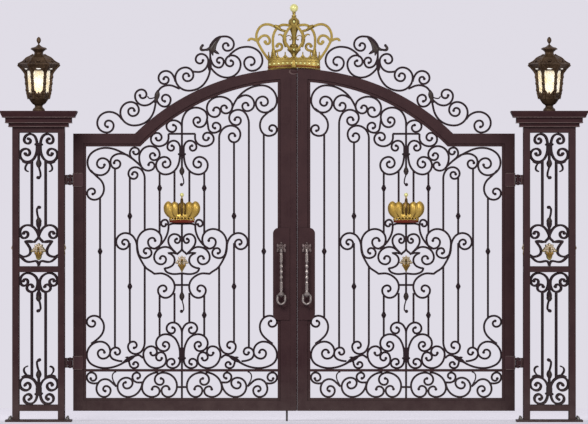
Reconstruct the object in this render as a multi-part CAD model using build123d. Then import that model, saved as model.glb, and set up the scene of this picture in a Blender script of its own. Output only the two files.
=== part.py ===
from build123d import *
import math
import os

os.makedirs("parts", exist_ok=True)

# Wrought iron driveway gate: two arched leaves between two open scrolled pillars.
# All lengths in millimetres. The origin is the underside centre of the left base plate,
# +X runs along the gate to the right pillar, the street side is -Y, and +Z is up.

# --- driving dimensions ---------------------------------------------------------------
opening_width = 3524.0  # clear width between the two pillars
pillar_width = 400.0
pillar_tube = 50.0  # square tube at each pillar corner
pillar_height = 2265.0  # ground to underside of the cap
pillar_rail = 45.0  # height of the pillar's cross rails
pillar_low_rail = 84.0  # ground to underside of the lowest rail
pillar_mid_rail = 1149.0
base_plate_width = 510.0
base_plate_thickness = 15.0
anchor_spacing = 440.0
anchor_radius = 9.0

leaf_bottom = 80.0  # ground clearance of the leaves
frame_face = 78.0  # flat outer face of the frame tube
frame_lip = 22.0  # thinner lip that holds the bars
frame_depth = 50.0
lip_depth = 30.0
shoulder_height = 2215.0  # top of the flat shoulder of a leaf
arch_top = 2715.0  # top of the arch at the meeting line
arch_radius = 1750.0
mid_rail_height = 382.0  # ground to underside of the rail over the plinth
mid_rail = 20.0
bar = 16.0  # square bar of the infill and the scrolls
thin_bar = 10.0  # tendrils and tails
eye_bead = 0.7  # radius of the bead in a scroll's eye, as a share of the bar
knuckle_ball = 19.0  # radius of the forged knuckles on the bars

pin_gap = 38.0  # pillar face to hinge pin centre
pin_to_stile = 24.0
pin_radius = 6.0
pin_clearance = 0.3
knuckle_radius = 15.0
knuckle_height = 35.0
ear_height = 20.0
ear_gap = 0.5
hinge_gap = 5.0  # between the hinge's turning barrel and its fixed block
low_hinge = 450.0
high_hinge = 1859.0
band_height = 100.0
band_thickness = 4.0

meeting_half_gap = 26.0  # gate centre to the edge of a lock stile
running_gap = 6.0  # between the meeting strip and the right leaf

handle_plate_low = 779.0
handle_plate_high = 1490.0
handle_plate_width = 128.0
handle_plate_corner = 46.0
handle_plate_edge = 8.0  # from the meeting edge of the stile
handle_plate_thickness = 6.0
handle_low = 886.0
handle_high = 1380.0
handle_reach = 60.0  # plate to grip centre
grip_radius = 11.0
rose_radius = 38.0

bolt_radius = 8.0
bolt_length = 700.0
bolt_inset = 55.0  # gate centre to the drop bolt
bolt_stand_off = 12.0
bolt_clearance = 0.5

cap_width = 590.0
cap_seat_width = 457.0
cap_step_width = 506.0
cap_seat_height = 31.0
cap_step_height = 42.0
cap_lip_height = 49.0

crown_half_width = 201.0
crown_band_height = 70.0
crown_depth = 84.0
crown_bar = 20.0
crown_clearance = 6.0  # saddle thickness, and gap over the right leaf
crown_ball = 32.0
crown_ball_height = 3181.0
small_crown_base = 1529.0
small_crown_half_width = 94.0
small_crown_band = 34.0
small_crown_depth = 60.0

lantern_side = 99.0  # side of the hexagonal body at its top
lantern_wall = 8.0
glass_thickness = 3.0
glass_gap = 0.3

# --- derived places -------------------------------------------------------------------
gate_x = (opening_width + pillar_width) / 2  # middle of the gate
leaf_y = (pillar_width - pillar_tube) / 2  # leaves hang in the plane of the rear posts
frame_width = frame_face + frame_lip
leaf_outer = pin_gap + pin_to_stile - opening_width / 2
leaf_meeting = -meeting_half_gap
inner_left = leaf_outer + frame_width
inner_right = leaf_meeting - frame_width
inner_width = inner_right - inner_left
leaf_centre = (inner_left + inner_right) / 2
arch_centre = arch_top - arch_radius
pin_x = pin_gap - opening_width / 2
shoulder_under = shoulder_height - frame_width
plinth_low = leaf_bottom + frame_width
mid_rail_top = mid_rail_height + mid_rail
bar_face = leaf_y - bar / 2  # street side of the bars
pillar_inner = pillar_width / 2 - pillar_tube
cap_top = pillar_height + cap_seat_height + cap_step_height + cap_lip_height


# --- plain solids ---------------------------------------------------------------------
def flat_box(x0, x1, z0, z1):
    """Rectangle in the plane of the gate, drawn as x across and z up."""
    return Pos((x0 + x1) / 2, (z0 + z1) / 2) * Rectangle(x1 - x0, z1 - z0)


def plate(sketch, depth, y):
    """Give a sketch of the gate plane a depth, centred on y."""
    return Pos(0, y, 0) * extrude(Plane.XZ * sketch, depth / 2, both=True)


def block(x0, x1, y0, y1, z0, z1):
    return Pos((x0 + x1) / 2, (y0 + y1) / 2, (z0 + z1) / 2) * Box(x1 - x0, y1 - y0, z1 - z0)


def post(x, y, z0, z1, radius):
    return Pos(x, y, (z0 + z1) / 2) * Cylinder(radius, z1 - z0)


def turned(x, y, outline):
    """Solid turned about a vertical axis, from (radius, height) points: an arc through each
    three, the last of one being the first of the next."""
    edges = [Line((0, outline[0][1]), outline[0])]
    for i in range(0, len(outline) - 2, 2):
        edges.append(ThreePointArc(*outline[i:i + 3]))
    edges.append(Line(outline[-1], (0, outline[-1][1])))
    edges.append(Line((0, outline[-1][1]), (0, outline[0][1])))
    return Pos(x, y, 0) * revolve(Plane.XZ * make_face(edges), Axis.Z)


def keep(name, *pieces):
    """Write the pieces as one node of separate solids."""
    solids = []
    for piece in pieces:
        solids.extend(piece.solids())
    export_step(Compound(children=solids), f"parts/{name}.step")


def keep_leaf(name, *pieces):
    """Write a left leaf piece drawn about the gate's middle, and its mirror image."""
    keep("left_" + name, *[Pos(gate_x, 0, 0) * piece for piece in pieces])
    keep("right_" + name, *[Pos(gate_x, 0, 0) * mirror(piece, Plane.YZ) for piece in pieces])


def keep_pillar(name, *pieces):
    """Write a left pillar piece drawn about the pillar's axis, and its mirror image."""
    keep("left_" + name, *pieces)
    keep("right_" + name, *[Pos(2 * gate_x, 0, 0) * mirror(piece, Plane.YZ) for piece in pieces])


# --- scrolls --------------------------------------------------------------------------
# A bar's centre line is a chain of tangent arcs. Each arc is (x, z, heading, radius, sweep):
# headings in degrees, 0 to the right and 90 up; radius and sweep positive on a left turn;
# a straight run has no radius, and its sweep is its length.
def step(heading, length):
    angle = math.radians(heading)
    return math.cos(angle) * length, math.sin(angle) * length


def along(arc, share):
    """Point and heading part of the way along an arc."""
    x, z, heading, radius, sweep = arc
    if radius is None:
        dx, dz = step(heading, sweep * share)
        return x + dx, z + dz, heading
    cx, cz = step(heading + 90, radius)
    dx, dz = step(heading - 90 + sweep * share, radius)
    return x + cx + dx, z + cz + dz, heading + sweep * share


def arc_to(x, z, heading, x1, z1):
    """Arc that leaves a point at a heading and ends at another point."""
    tx, tz = step(heading, 1)
    across = tx * (z1 - z) - tz * (x1 - x)
    ahead = tx * (x1 - x) + tz * (z1 - z)
    chord = math.hypot(across, ahead)
    if abs(across) < 1e-6 * chord:
        return (x, z, heading, None, chord)
    sweep = 2 * math.degrees(math.atan2(across, ahead))
    return (x, z, heading, chord / 2 / math.sin(math.radians(sweep / 2)), sweep)


def backward(arc):
    x, z, heading = along(arc, 1)
    radius, sweep = arc[3], arc[4]
    if radius is None:
        return (x, z, heading + 180, None, sweep)
    return (x, z, heading + 180, -radius, -sweep)


def two_arcs(start, end):
    """Two tangent arcs from one point and heading to another."""
    tx, tz = step(start[2], 1)
    ux, uz = step(end[2], 1)
    vx, vz = end[0] - start[0], end[1] - start[1]
    span = vx * vx + vz * vz
    ahead = vx * (tx + ux) + vz * (tz + uz)
    turn = 1 - (tx * ux + tz * uz)
    if turn < 1e-9:
        reach = span / (2 * ahead)
    else:
        reach = (math.sqrt(ahead * ahead + 2 * turn * span) - ahead) / (2 * turn)
    mx = (start[0] + end[0] + reach * (tx - ux)) / 2
    mz = (start[1] + end[1] + reach * (tz - uz)) / 2
    return [arc_to(*start, mx, mz), backward(arc_to(end[0], end[1], end[2] + 180, mx, mz))]


def eye(start, side, radius, quarters, ratio=0.76):
    """Spiral of quarter turns, each tighter than the last by the same ratio."""
    arcs = []
    for k in range(quarters):
        arcs.append((*start, side * radius * ratio ** k, side * 90))
        start = along(arcs[-1], 1)
    return arcs


def centre_line(points, inner=None, outer=None):
    """Arcs through (x, z, heading) points, with an eye before the first and after the last."""
    arcs = []
    for a, b in zip(points, points[1:]):
        arcs += two_arcs(a, b)
    if outer:
        arcs += eye(points[-1], math.copysign(1, arcs[-1][4]), *outer)
    if inner:
        x, z, heading = points[0]
        spiral = eye((x, z, heading + 180), -math.copysign(1, arcs[0][4]), *inner)
        arcs = [backward(arc) for arc in reversed(spiral)] + arcs
    return arcs


def beside(arc, share, offset):
    x, z, heading = along(arc, share)
    dx, dz = step(heading + 90, offset)
    return x + dx, z + dz


def edge_beside(arc, offset):
    start, end = beside(arc, 0, offset), beside(arc, 1, offset)
    if arc[3] is None:
        return Line(start, end)
    return ThreePointArc(start, beside(arc, 0.5, offset), end)


def upright(edges):
    """Face inside a closed outline, always seen from the same side."""
    face = Face(Wire(edges))
    return face if face.normal_at().Z > 0 else -face


def ribbon(arcs, width=bar):
    """Flat outline of a bar of constant width along its centre line."""
    half = width / 2
    edges = [edge_beside(arc, half) for arc in arcs]
    edges.append(Line(beside(arcs[-1], 1, half), beside(arcs[-1], 1, -half)))
    edges += [edge_beside(arc, -half) for arc in reversed(arcs)]
    edges.append(Line(beside(arcs[0], 0, -half), beside(arcs[0], 0, half)))
    return upright(edges)


def bead(x, z, radius):
    return (Pos(x, z) * Circle(radius)).faces()[0]


def scroll(fit, points, inner=None, outer=None, width=bar):
    """Ribbon of a scroll, in two halves as its eyes may touch, and the beads that end them."""
    arcs = centre_line([(*fit(x, z), heading) for x, z, heading in points], inner, outer)
    half = len(arcs) // 2
    faces = [ribbon(arcs[:half], width), ribbon(arcs[half:], width)]
    if inner:
        faces.append(bead(arcs[0][0], arcs[0][1], eye_bead * width))
    if outer:
        x, z, heading = along(arcs[-1], 1)
        faces.append(bead(x, z, eye_bead * width))
    return faces


def leaf_shape(fit, x0, z0, x1, z1, width):
    """Pointed oval leaf between two tips."""
    a, b = fit(x0, z0), fit(x1, z1)
    length = math.hypot(b[0] - a[0], b[1] - a[1])
    nx, nz = (a[1] - b[1]) / length * width / 2, (b[0] - a[0]) / length * width / 2
    mx, mz = (a[0] + b[0]) / 2, (a[1] + b[1]) / 2
    return upright([ThreePointArc(a, (mx + nx, mz + nz), b),
                    ThreePointArc(b, (mx - nx, mz - nz), a)])


def joined(faces):
    """Faces of one plane fused into one sketch."""
    return Sketch() + faces


def mirrored(points):
    return [(-x, z, 180 - heading) for x, z, heading in points]


def pair(fit, points, inner=None, outer=None, width=bar):
    """A scroll and its mirror image about the pattern's middle line."""
    faces = scroll(fit, points, inner, outer, width)
    return faces + scroll(fit, mirrored(points), inner, outer, width)


def leaf_pair(fit, x0, z0, x1, z1, width):
    return [leaf_shape(fit, x0, z0, x1, z1, width), leaf_shape(fit, -x0, z0, -x1, z1, width)]


def rod(fit, x0, z0, x1, z1, width=bar):
    """Straight bar between two points of the pattern."""
    a, b = fit(x0, z0), fit(x1, z1)
    heading = math.degrees(math.atan2(b[1] - a[1], b[0] - a[0]))
    return ribbon([arc_to(*a, heading, *b)], width)


# --- where the patterns sit -----------------------------------------------------------
# The scrollwork is drawn once on a leaf whose opening is 1474 wide about x = -863, with its
# plinth from 180 to 382, its field from 402, its shoulder at 2115 and an arch of 1650 about
# 965. These functions stretch that drawing onto the leaf as built.
def across(x):
    return leaf_centre + (x + 863) * inner_width / 1474


def arch_over(x, radius, centre, flat):
    """Height of the arch line over x, or of the flat shoulder where that is higher."""
    inside = radius * radius - x * x
    return max(flat, centre + math.sqrt(max(inside, 0)))


def in_field(x, z):
    """Point of the field: between the mid rail and the arch."""
    built = arch_over(across(x), arch_radius - frame_width, arch_centre, shoulder_under)
    drawn = arch_over(x, 1650, 965, 2115)
    return across(x), mid_rail_top + (z - 402) * (built - mid_rail_top) / (drawn - 402)


def in_field_middle(x, z):
    """Point of the field, drawn about the leaf's middle line."""
    return in_field(x - 863, z)


def in_plinth(x, z):
    share = (z - 180) / (382 - 180)
    return across(x - 863), plinth_low + share * (mid_rail_height - plinth_low)


def on_crest(x, z):
    """Point above the leaf, at its drawn height over the top of the frame."""
    built = arch_over(across(x), arch_radius, arch_centre, shoulder_height)
    return across(x), built + z - arch_over(x, 1750, 965, 2215)


def in_pillar(reference, drawn):
    """Fit for a pillar panel drawn 300 wide, its heights kept from one rail."""
    return lambda x, z: (x * pillar_inner / 150, z - drawn + reference)


# --- leaf frame -----------------------------------------------------------------------
def leaf_outline(inset):
    """Outline of a leaf: flat shoulder beside the pillar, arch towards the middle."""
    left = leaf_outer + inset
    right = leaf_meeting - inset
    low = leaf_bottom + inset
    body = flat_box(left, right, low, shoulder_height - inset)
    bow = Pos(0, arch_centre) * Circle(arch_radius - inset)
    return body + (bow & flat_box(left, right, low, arch_top))


def frame_member(x0, x1, z0, z1):
    """The part of the stepped frame that lies inside a rectangle."""
    window = flat_box(x0, x1, z0, z1)
    face = (leaf_outline(0) - leaf_outline(frame_face)) & window
    lip = (leaf_outline(frame_face) - leaf_outline(frame_width)) & window
    return plate(face, frame_depth, leaf_y) + plate(lip, lip_depth, leaf_y)


def make_frame():
    middle = (mid_rail_top + shoulder_under) / 2
    keep_leaf("hinge_stile", frame_member(leaf_outer, inner_left, 0, arch_top))
    keep_leaf("lock_stile", frame_member(inner_right, leaf_meeting, 0, arch_top))
    keep_leaf("bottom_rail", frame_member(inner_left, inner_right, 0, middle))
    keep_leaf("top_rail", frame_member(inner_left, inner_right, middle, arch_top))
    rail = flat_box(inner_left, inner_right, mid_rail_height, mid_rail_top)
    keep_leaf("mid_rail", plate(rail, lip_depth, leaf_y))


def field_window():
    """Opening of a leaf above its mid rail."""
    return leaf_outline(frame_width) & flat_box(inner_left, inner_right, mid_rail_top, arch_top)


# --- hinges ---------------------------------------------------------------------------
def hinge_strap(z):
    """Band round the hinge stile with two ears and the pin."""
    half = frame_depth / 2 + band_thickness
    low = z - band_height / 2
    high = z + band_height / 2
    edge = leaf_outer - band_thickness
    around = block(edge, leaf_outer + frame_face, leaf_y - half, leaf_y + half, low, high)
    tube = block(leaf_outer, leaf_outer + frame_face, leaf_y - frame_depth / 2,
                 leaf_y + frame_depth / 2, low, high)
    strap = around - tube
    reach = knuckle_height / 2 + ear_gap
    for z0 in (z - reach - ear_height, z + reach):
        z1 = z0 + ear_height
        strap += post(pin_x, leaf_y, z0, z1, knuckle_radius)
        strap += block(pin_x, edge, leaf_y - knuckle_radius, leaf_y + knuckle_radius, z0, z1)
    end = reach + ear_height
    return strap + post(pin_x, leaf_y, z - end, z + end, pin_radius)


def hinge_bracket(z):
    """Arm welded to the pillar's corner tube, with the bored knuckle of the hinge."""
    low = z - knuckle_height / 2
    high = z + knuckle_height / 2
    face = -opening_width / 2
    near, far = leaf_y - knuckle_radius, leaf_y + knuckle_radius
    reach = knuckle_height / 2 + ear_gap + ear_height
    arm = block(face, pin_x, near, far, low, high)
    arm += block(face, pin_x - knuckle_radius - hinge_gap, near, far, z - reach, z + reach)
    arm += post(pin_x, leaf_y, low, high, knuckle_radius)
    return arm - post(pin_x, leaf_y, low, high, pin_radius + pin_clearance)


def make_hinges():
    keep_leaf("hinge_straps", hinge_strap(low_hinge), hinge_strap(high_hinge))
    keep_leaf("hinge_brackets", hinge_bracket(low_hinge), hinge_bracket(high_hinge))


# --- meeting strip, handles and drop bolt ---------------------------------------------
def make_meeting_strip():
    right = meeting_half_gap - running_gap
    bow = Pos(0, arch_centre) * Circle(arch_radius)
    strip = plate(flat_box(leaf_meeting, right, leaf_bottom, arch_top) & bow, frame_depth, leaf_y)
    keep("meeting_strip", Pos(gate_x, 0, 0) * strip)


def handle_plate():
    """Backing plate that stands out past the stile, its outer corners rounded."""
    x1 = leaf_meeting - handle_plate_edge
    x0 = x1 - handle_plate_width
    body = flat_box(x0, x1, handle_plate_low, handle_plate_high)
    outer = body.vertices().sort_by(Axis.X)[:2]
    body = fillet(outer, handle_plate_corner)
    front = leaf_y - frame_depth / 2
    return plate(body, handle_plate_thickness, front - handle_plate_thickness / 2)


def pull_handle():
    """Turned grip between a lobed rose above and a cup below, on two stubs."""
    face = leaf_y - frame_depth / 2 - handle_plate_thickness
    x = leaf_meeting - handle_plate_edge - handle_plate_width / 2
    y = face - handle_reach
    r = grip_radius
    top = handle_high - rose_radius
    cup = handle_low + rose_radius
    grip = turned(x, y, [(r, cup), (0.8 * r, cup + 60), (1.2 * r, cup + 120),
                         (0.9 * r, (cup + top) / 2), (1.2 * r, top - 120),
                         (0.8 * r, top - 60), (r, top)])
    for z, radius in ((top, 0.62 * rose_radius), (cup, 0.62 * rose_radius)):
        grip += Pos(x, y, z) * Sphere(radius)
        grip += Pos(x, (y + face) / 2, z) * Rot(90, 0, 0) * Cylinder(r, face - y)
    rose = joined([bead(x + dx, top + dz, 0.55 * rose_radius)
                   for dx, dz in ((-17, 0), (17, 0), (0, 17), (0, -17))])
    grip += plate(rose, 8, face - 4)
    grip += Pos(x, face - 4, cup) * Rot(90, 0, 0) * Cylinder(0.8 * rose_radius, 8)
    return grip


def make_handles():
    keep_leaf("handle_plate", handle_plate())
    keep_leaf("pull_handle", pull_handle())


def make_drop_bolt():
    x = gate_x - bolt_inset
    back = leaf_y + frame_depth / 2
    y = back + bolt_stand_off
    rod_and_grip = post(x, y, 0, bolt_length, bolt_radius)
    rod_and_grip += Pos(x + 25, y, bolt_length - 10) * Rot(0, 90, 0) * Cylinder(6, 50)
    keep("drop_bolt", rod_and_grip)
    guides = []
    for z in (130, 520):
        guide = block(x - 22, x + 22, back, y + 16, z - 15, z + 15)
        guides.append(guide - post(x, y, z - 20, z + 20, bolt_radius + bolt_clearance))
    keep("bolt_guides", *guides)


# --- bars of the leaves ---------------------------------------------------------------
# Each bar: its place from the leaf's middle line, its two ends, and its knuckles.
LEAF_BARS = [
    (-630.3, 800, 1716, [1308]), (630.3, 800, 2212, [1308]),
    (-515.7, 572, 1950, []), (515.7, 572, 2290, []),
    (-401.1, 606, 1372, [1038]), (401.1, 606, 1372, [1038]),
    (-401.1, 1444, 1880, [1580]), (401.1, 1444, 2150, [1580]),
    (-286.5, 610, 1198, []), (286.5, 610, 1198, []),
    (-286.5, 1470, 1870, []), (286.5, 1470, 2180, []),
    (-171.9, 658, 974, [817]), (171.9, 658, 974, [817]),
    (-171.9, 1450, 1912, [1795]), (171.9, 1450, 1912, [1795]),
    (-57.3, 760, 988, []), (57.3, 760, 988, []),
    (-57.3, 1640, 1928, []), (57.3, 1640, 1928, []),
]


def make_bars(scrollwork, crown):
    """Bars end on the scrolls; a knuckle is a ball between two square collars."""
    outlines = []
    knuckles = []
    for x, z0, z1, heights in LEAF_BARS:
        outlines.append(rod(in_field_middle, x, z0, x, z1))
        for z in heights:
            left, height = in_field_middle(x, z)
            knuckles.append(Pos(left, leaf_y, height) * Sphere(knuckle_ball))
            for s in (-1, 1):
                knuckles.append(Pos(left, leaf_y, height + s * knuckle_ball) * Box(24, 24, 6))
    bars = plate(joined(outlines) - scrollwork, bar, leaf_y) - crown
    keep_leaf("bars", bars + knuckles)


# --- scrollwork of the leaves ---------------------------------------------------------
def tail(fit, x, z0, z1, swing):
    """Bud and curled tail that closes a stem: from z0 to the ball at z1."""
    run = z1 - z0
    bud = leaf_shape(fit, x, z0, x, z0 + 0.5 * run, 36)
    end = z0 + run
    up = 90 if run > 0 else 270
    points = [(x, z0 + 0.3 * run, up), (x + 14 * swing, end - 0.12 * run, up),
              (x - 2 * swing, end, up + math.copysign(90, swing * run))]
    curl = scroll(fit, points, width=thin_bar)
    return [bud, *curl, bead(*fit(x - 3 * swing, end), 13)]


def crest_pattern():
    f = on_crest
    shapes = scroll(f, [(-1515, 2296, 90), (-1423, 2382, 0), (-1326, 2324, -62)], (73, 5, 0.73))
    shapes += scroll(f, [(-1337, 2377, 270), (-1232, 2277, 0), (-1110, 2330, 50),
                         (-1058, 2488, 80)], (81, 6))
    shapes += scroll(f, [(-1224, 2504, 270), (-1152, 2431, 0), (-1058, 2484, 45)], (50, 4))
    shapes += scroll(f, [(-1126, 2503, 275), (-1106, 2485, 0), (-1062, 2498, 25)], width=thin_bar)
    shapes += scroll(f, [(-1058, 2486, 275), (-994, 2422, 0), (-950, 2476, 90)], None, (38, 3))
    shapes += scroll(f, [(-1058, 2488, 88), (-1043, 2545, 62), (-965, 2587, 0),
                         (-880, 2559, -25)])
    shapes += scroll(f, [(-914, 2645, 270), (-811, 2545, 0), (-693, 2597, 50),
                         (-645, 2724, 88)], (79, 6))
    shapes += scroll(f, [(-1043, 2643, 90), (-986, 2697, 0), (-914, 2615, -82)], (46, 4, 0.7))
    shapes += scroll(f, [(-660, 2773, 270), (-737, 2689, 180), (-785, 2696, 160)], (55, 4))
    shapes.append(rod(f, -645, 2720, -645, 2862))
    shapes += scroll(f, [(-645, 2810, 275), (-579, 2723, 0), (-541, 2770, 90)], None, (30, 3))
    shapes += scroll(f, [(-645, 2730, -60), (-515, 2646, 0), (-411, 2749, 90)], None,
                     (68, 5, 0.72))
    shapes += scroll(f, [(-650, 2862, 90), (-605, 2942, 42), (-530, 2963, 0), (-463, 2902, 270)],
                     None, (50, 4, 0.7))
    shapes += scroll(f, [(-645, 2868, 180), (-700, 2862, 180), (-715, 2878, 90),
                         (-704, 2893, 10)], width=thin_bar)
    shapes.append(bead(*f(-704, 2893), 11))
    shapes += scroll(f, [(-505, 2803, 62), (-440, 2864, 30), (-360, 2883, 0),
                         (-243, 2778, 270)], None, (80, 5))
    shapes.append(leaf_shape(f, -1070, 2450, -1048, 2550, 30))
    shapes.append(leaf_shape(f, -652, 2690, -645, 2770, 32))
    shapes.append(leaf_shape(f, -654, 2846, -584, 2962, 46))
    shapes.append(leaf_shape(f, -648, 2866, -576, 2832, 24))
    shapes.append(leaf_shape(f, -650, 2870, -626, 2824, 18))
    return joined(shapes) - leaf_outline(0)


def top_pattern():
    """Scrolls under the arch, around the finial on the leaf's middle line."""
    f = in_field
    m = in_field_middle
    shapes = scroll(f, [(-1590, 1992, 90), (-1450, 2105, 0), (-1292, 2052, -30),
                        (-1157, 1939, -50)], (98, 6))
    shapes += scroll(f, [(-1565, 1932, -48), (-1463, 1790, 270), (-1538, 1705, 180),
                         (-1593, 1756, 90)], None, (36, 3, 0.7))
    shapes += scroll(f, [(-1276, 2046, 155), (-1338, 2060, 180), (-1413, 1998, 270),
                         (-1373, 1946, 0)], None, (36, 3))
    shapes += scroll(f, [(-1149.5, 1870, 90), (-1222, 1956, 180), (-1275, 1906, 270)], None,
                     (40, 4))
    shapes += scroll(f, [(-1205, 1988, 135), (-1264, 2063, 90), (-1228, 2107, 0),
                         (-1193, 2079, 270)], None, (25, 2))
    shapes += scroll(f, [(-1034, 2054, 90), (-1108, 2118, 180), (-1192, 2030, 270),
                         (-1122, 1929, 0), (-1074, 1968, 90)], (44, 4, 0.72), (26, 2))
    shapes += pair(m, [(15, 2056, 270), (57, 1929, -45), (128, 1900, 0), (199, 1971, 90)], None,
                   (64, 5, 0.74))
    shapes += pair(m, [(13, 2098, 90), (63, 2160, 0), (112, 2112, 270)], None, (29, 3))
    shapes += scroll(f, [(-863, 2290, 90), (-757, 2415, 0), (-668, 2342, 270),
                         (-727, 2264, 180), (-775, 2310, 90)], None, (30, 3))
    shapes += scroll(f, [(-863, 2268, 100), (-928, 2317, 180), (-982, 2272, 270)], None,
                     (44, 3, 0.7))
    shapes += scroll(f, [(-1102, 2172, 270), (-1041, 2117, 0), (-966, 2183, 90),
                         (-966, 2213, 90)], (48, 4, 0.72))
    shapes += scroll(f, [(-618, 2174, 270), (-689, 2117, 180), (-762, 2185, 90),
                         (-762, 2213, 90)], (48, 4, 0.72))
    shapes += scroll(f, [(-671, 2330, -80), (-618, 2221, 0), (-565, 2263, 90)], None,
                     (36, 3, 0.7))
    shapes += scroll(f, [(-612, 2342, 180), (-671, 2410, 90), (-571, 2499, 0),
                         (-474, 2422, 270)], (44, 3, 0.7), (52, 4, 0.7))
    shapes += scroll(f, [(-132, 2469, 90), (-247, 2586, 180), (-380, 2542, 216),
                         (-455, 2457, 242), (-480, 2396, 258)], (92, 6))
    shapes += scroll(f, [(-160, 2408, 215), (-262, 2278, 270), (-194, 2197, 0),
                         (-132, 2246, 90)], None, (34, 3, 0.74))
    shapes += scroll(f, [(-438, 2485, 25), (-374, 2510, 0), (-306, 2442, 270)], None,
                     (54, 4, 0.7))
    shapes += scroll(f, [(-347.3, 2290, 90), (-430, 2398, 180), (-499, 2336, 270),
                         (-444, 2280, 0)], None, (35, 3))
    shapes += scroll(f, [(-576.5, 2180, 90), (-486, 2276, 0), (-413, 2210, 270),
                         (-462, 2148, 180)], None, (41, 3, 0.7))
    shapes.append(rod(m, -104, 2213, 104, 2213))
    shapes.append(rod(m, 0, 1935, 0, 2290))
    shapes.append(rod(m, 0, 2046, 0, 2106, 44))
    shapes += tail(m, 0, 1960, 1822, 1)
    return joined(shapes) & field_window()


def centre_pattern():
    """Lyre of scrolls that carries the small crown and the rosette."""
    f = in_field_middle
    shapes = pair(f, [(452, 1324, 0), (506, 1380, 90), (435, 1449, 180), (346, 1340, 270),
                      (293, 1201, -122), (210, 1133, -140)], (44, 4, 0.7))
    shapes += pair(f, [(127, 950, 180), (56, 1036, 90), (134, 1133, 20), (214, 1135, -5)],
                   (57, 4, 0.68))
    shapes += pair(f, [(211, 1329, 180), (157, 1402, 90), (240, 1480, 0), (345, 1372, 270),
                       (287, 1256, 180), (234, 1297, 90)], (50, 3, 0.66), (36, 3, 0.67))
    shapes += pair(f, [(40, 1286, 50), (128, 1342, 0), (214, 1262, 270)], None, (54, 4, 0.7))
    shapes += pair(f, [(108, 1295, 190), (56, 1240, 270), (133, 1178, 0)])
    shapes += pair(f, [(133, 1182, 270), (60, 1133, 180), (0, 1139, 170)])
    shapes += pair(f, [(36, 1372, 180), (12, 1405, 90), (58, 1441, 0), (105, 1390, 270),
                       (63, 1313, 225), (44, 1294, 225)], (18, 2))
    shapes += pair(f, [(160, 1522, 90), (130, 1551, 180), (103, 1500, 270), (153, 1371, -50),
                       (209, 1329, -25)], (22, 2, 0.7))
    shapes += pair(f, [(0, 1334, 270), (40, 1282, -52)])
    shapes += pair(f, [(103, 1510, 150), (0, 1521, 180)])
    shapes.append(rod(f, 0, 1325, 0, 1516))
    shapes.append(rod(f, -58, 1049, 58, 1049))
    shapes.append(rod(f, 0, 985, 0, 1137))
    shapes += tail(f, 0, 1000, 846, 1)
    return joined(shapes) & field_window()


def lower_pattern():
    """Scrolls that stand on the mid rail."""
    f = in_field_middle
    shapes = pair(f, [(0, 680, 88), (69, 760, 0), (118, 714, 270)], None, (38, 3, 0.7))
    shapes += pair(f, [(15, 521, 90), (125, 670, 0), (199, 600, 270)], None, (60, 5, 0.7))
    shapes += pair(f, [(15, 468, 270), (71, 409, 0), (117, 445, 90)], None, (36, 3, 0.7))
    shapes += pair(f, [(297, 515, 270), (199, 409, 180), (121, 473, 90), (161, 531, 0)],
                   (62, 4, 0.68), (38, 3, 0.68))
    shapes += pair(f, [(286.5, 610, 270), (358, 518, 0), (415, 574, 90)], None, (39, 3, 0.72))
    shapes += pair(f, [(732, 509, 270), (594, 409, 180), (441, 456, 147), (345, 508, 165),
                       (300, 486, 225)], (104, 6, 0.73))
    shapes += pair(f, [(700, 597, 150), (600, 727, 90), (676, 812, 0), (732, 765, 270)], None,
                   (38, 3, 0.7))
    shapes += pair(f, [(554, 521, 270), (458, 462, 180)], (46, 4, 0.7))
    shapes += pair(f, [(408, 474, 270), (369, 409, 180), (336, 434, 90)], None, (22, 2, 0.7))
    shapes += leaf_pair(f, 350, 510, 462, 448, 34)
    shapes += leaf_pair(f, 400, 492, 440, 492, 14)
    shapes.append(rod(f, 0, 402, 0, 700))
    shapes.append(rod(f, 0, 462, 0, 568, 46))
    return joined(shapes) & field_window()


def plinth_pattern():
    """Scrolls between the bottom rail and the mid rail."""
    f = in_plinth
    shapes = pair(f, [(107, 187, 180), (38, 272, 90), (146, 374, 0), (209, 320, 270)],
                  (50, 3, 0.7), (40, 3, 0.72))
    shapes += pair(f, [(181, 376, 0), (307, 258, 270), (231, 187, 180), (172, 232, 90)], None,
                   (36, 2, 0.6))
    shapes += pair(f, [(381, 340, 270), (335, 298, 180), (296, 300, 175)], (34, 3, 0.74))
    shapes += pair(f, [(305, 304, 270), (415, 187, 0), (496, 266, 90), (428, 335, 180),
                       (380, 296, 270)], None, (44, 3, 0.65))
    shapes += pair(f, [(505, 380, 0), (536, 346, 270), (505, 270, -120)], width=thin_bar)
    shapes += pair(f, [(504, 267, 40), (592, 324, 0), (658, 250, 270), (599, 187, 180)], None,
                   (50, 4, 0.68))
    shapes += pair(f, [(642, 296, -20), (732, 338, 90), (697, 375, 180)], None, (38, 3, 0.68))
    shapes.append(rod(f, 0, 180, 0, 382))
    shapes.append(rod(f, -42, 263, 42, 263))
    inside = flat_box(inner_left, inner_right, plinth_low, mid_rail_height)
    return joined(shapes) & inside


def collar(fit, x, z, y, width):
    """Forged collar with a knob at each end."""
    cx, cz = fit(x, z)
    half = width / 2
    band = block(cx - half, cx + half, y - 0.8 * bar, y + 0.8 * bar, cz - 7, cz + 7)
    for s in (-1, 1):
        band += Pos(cx + s * half, y, cz) * Sphere(9)
    return band


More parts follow.
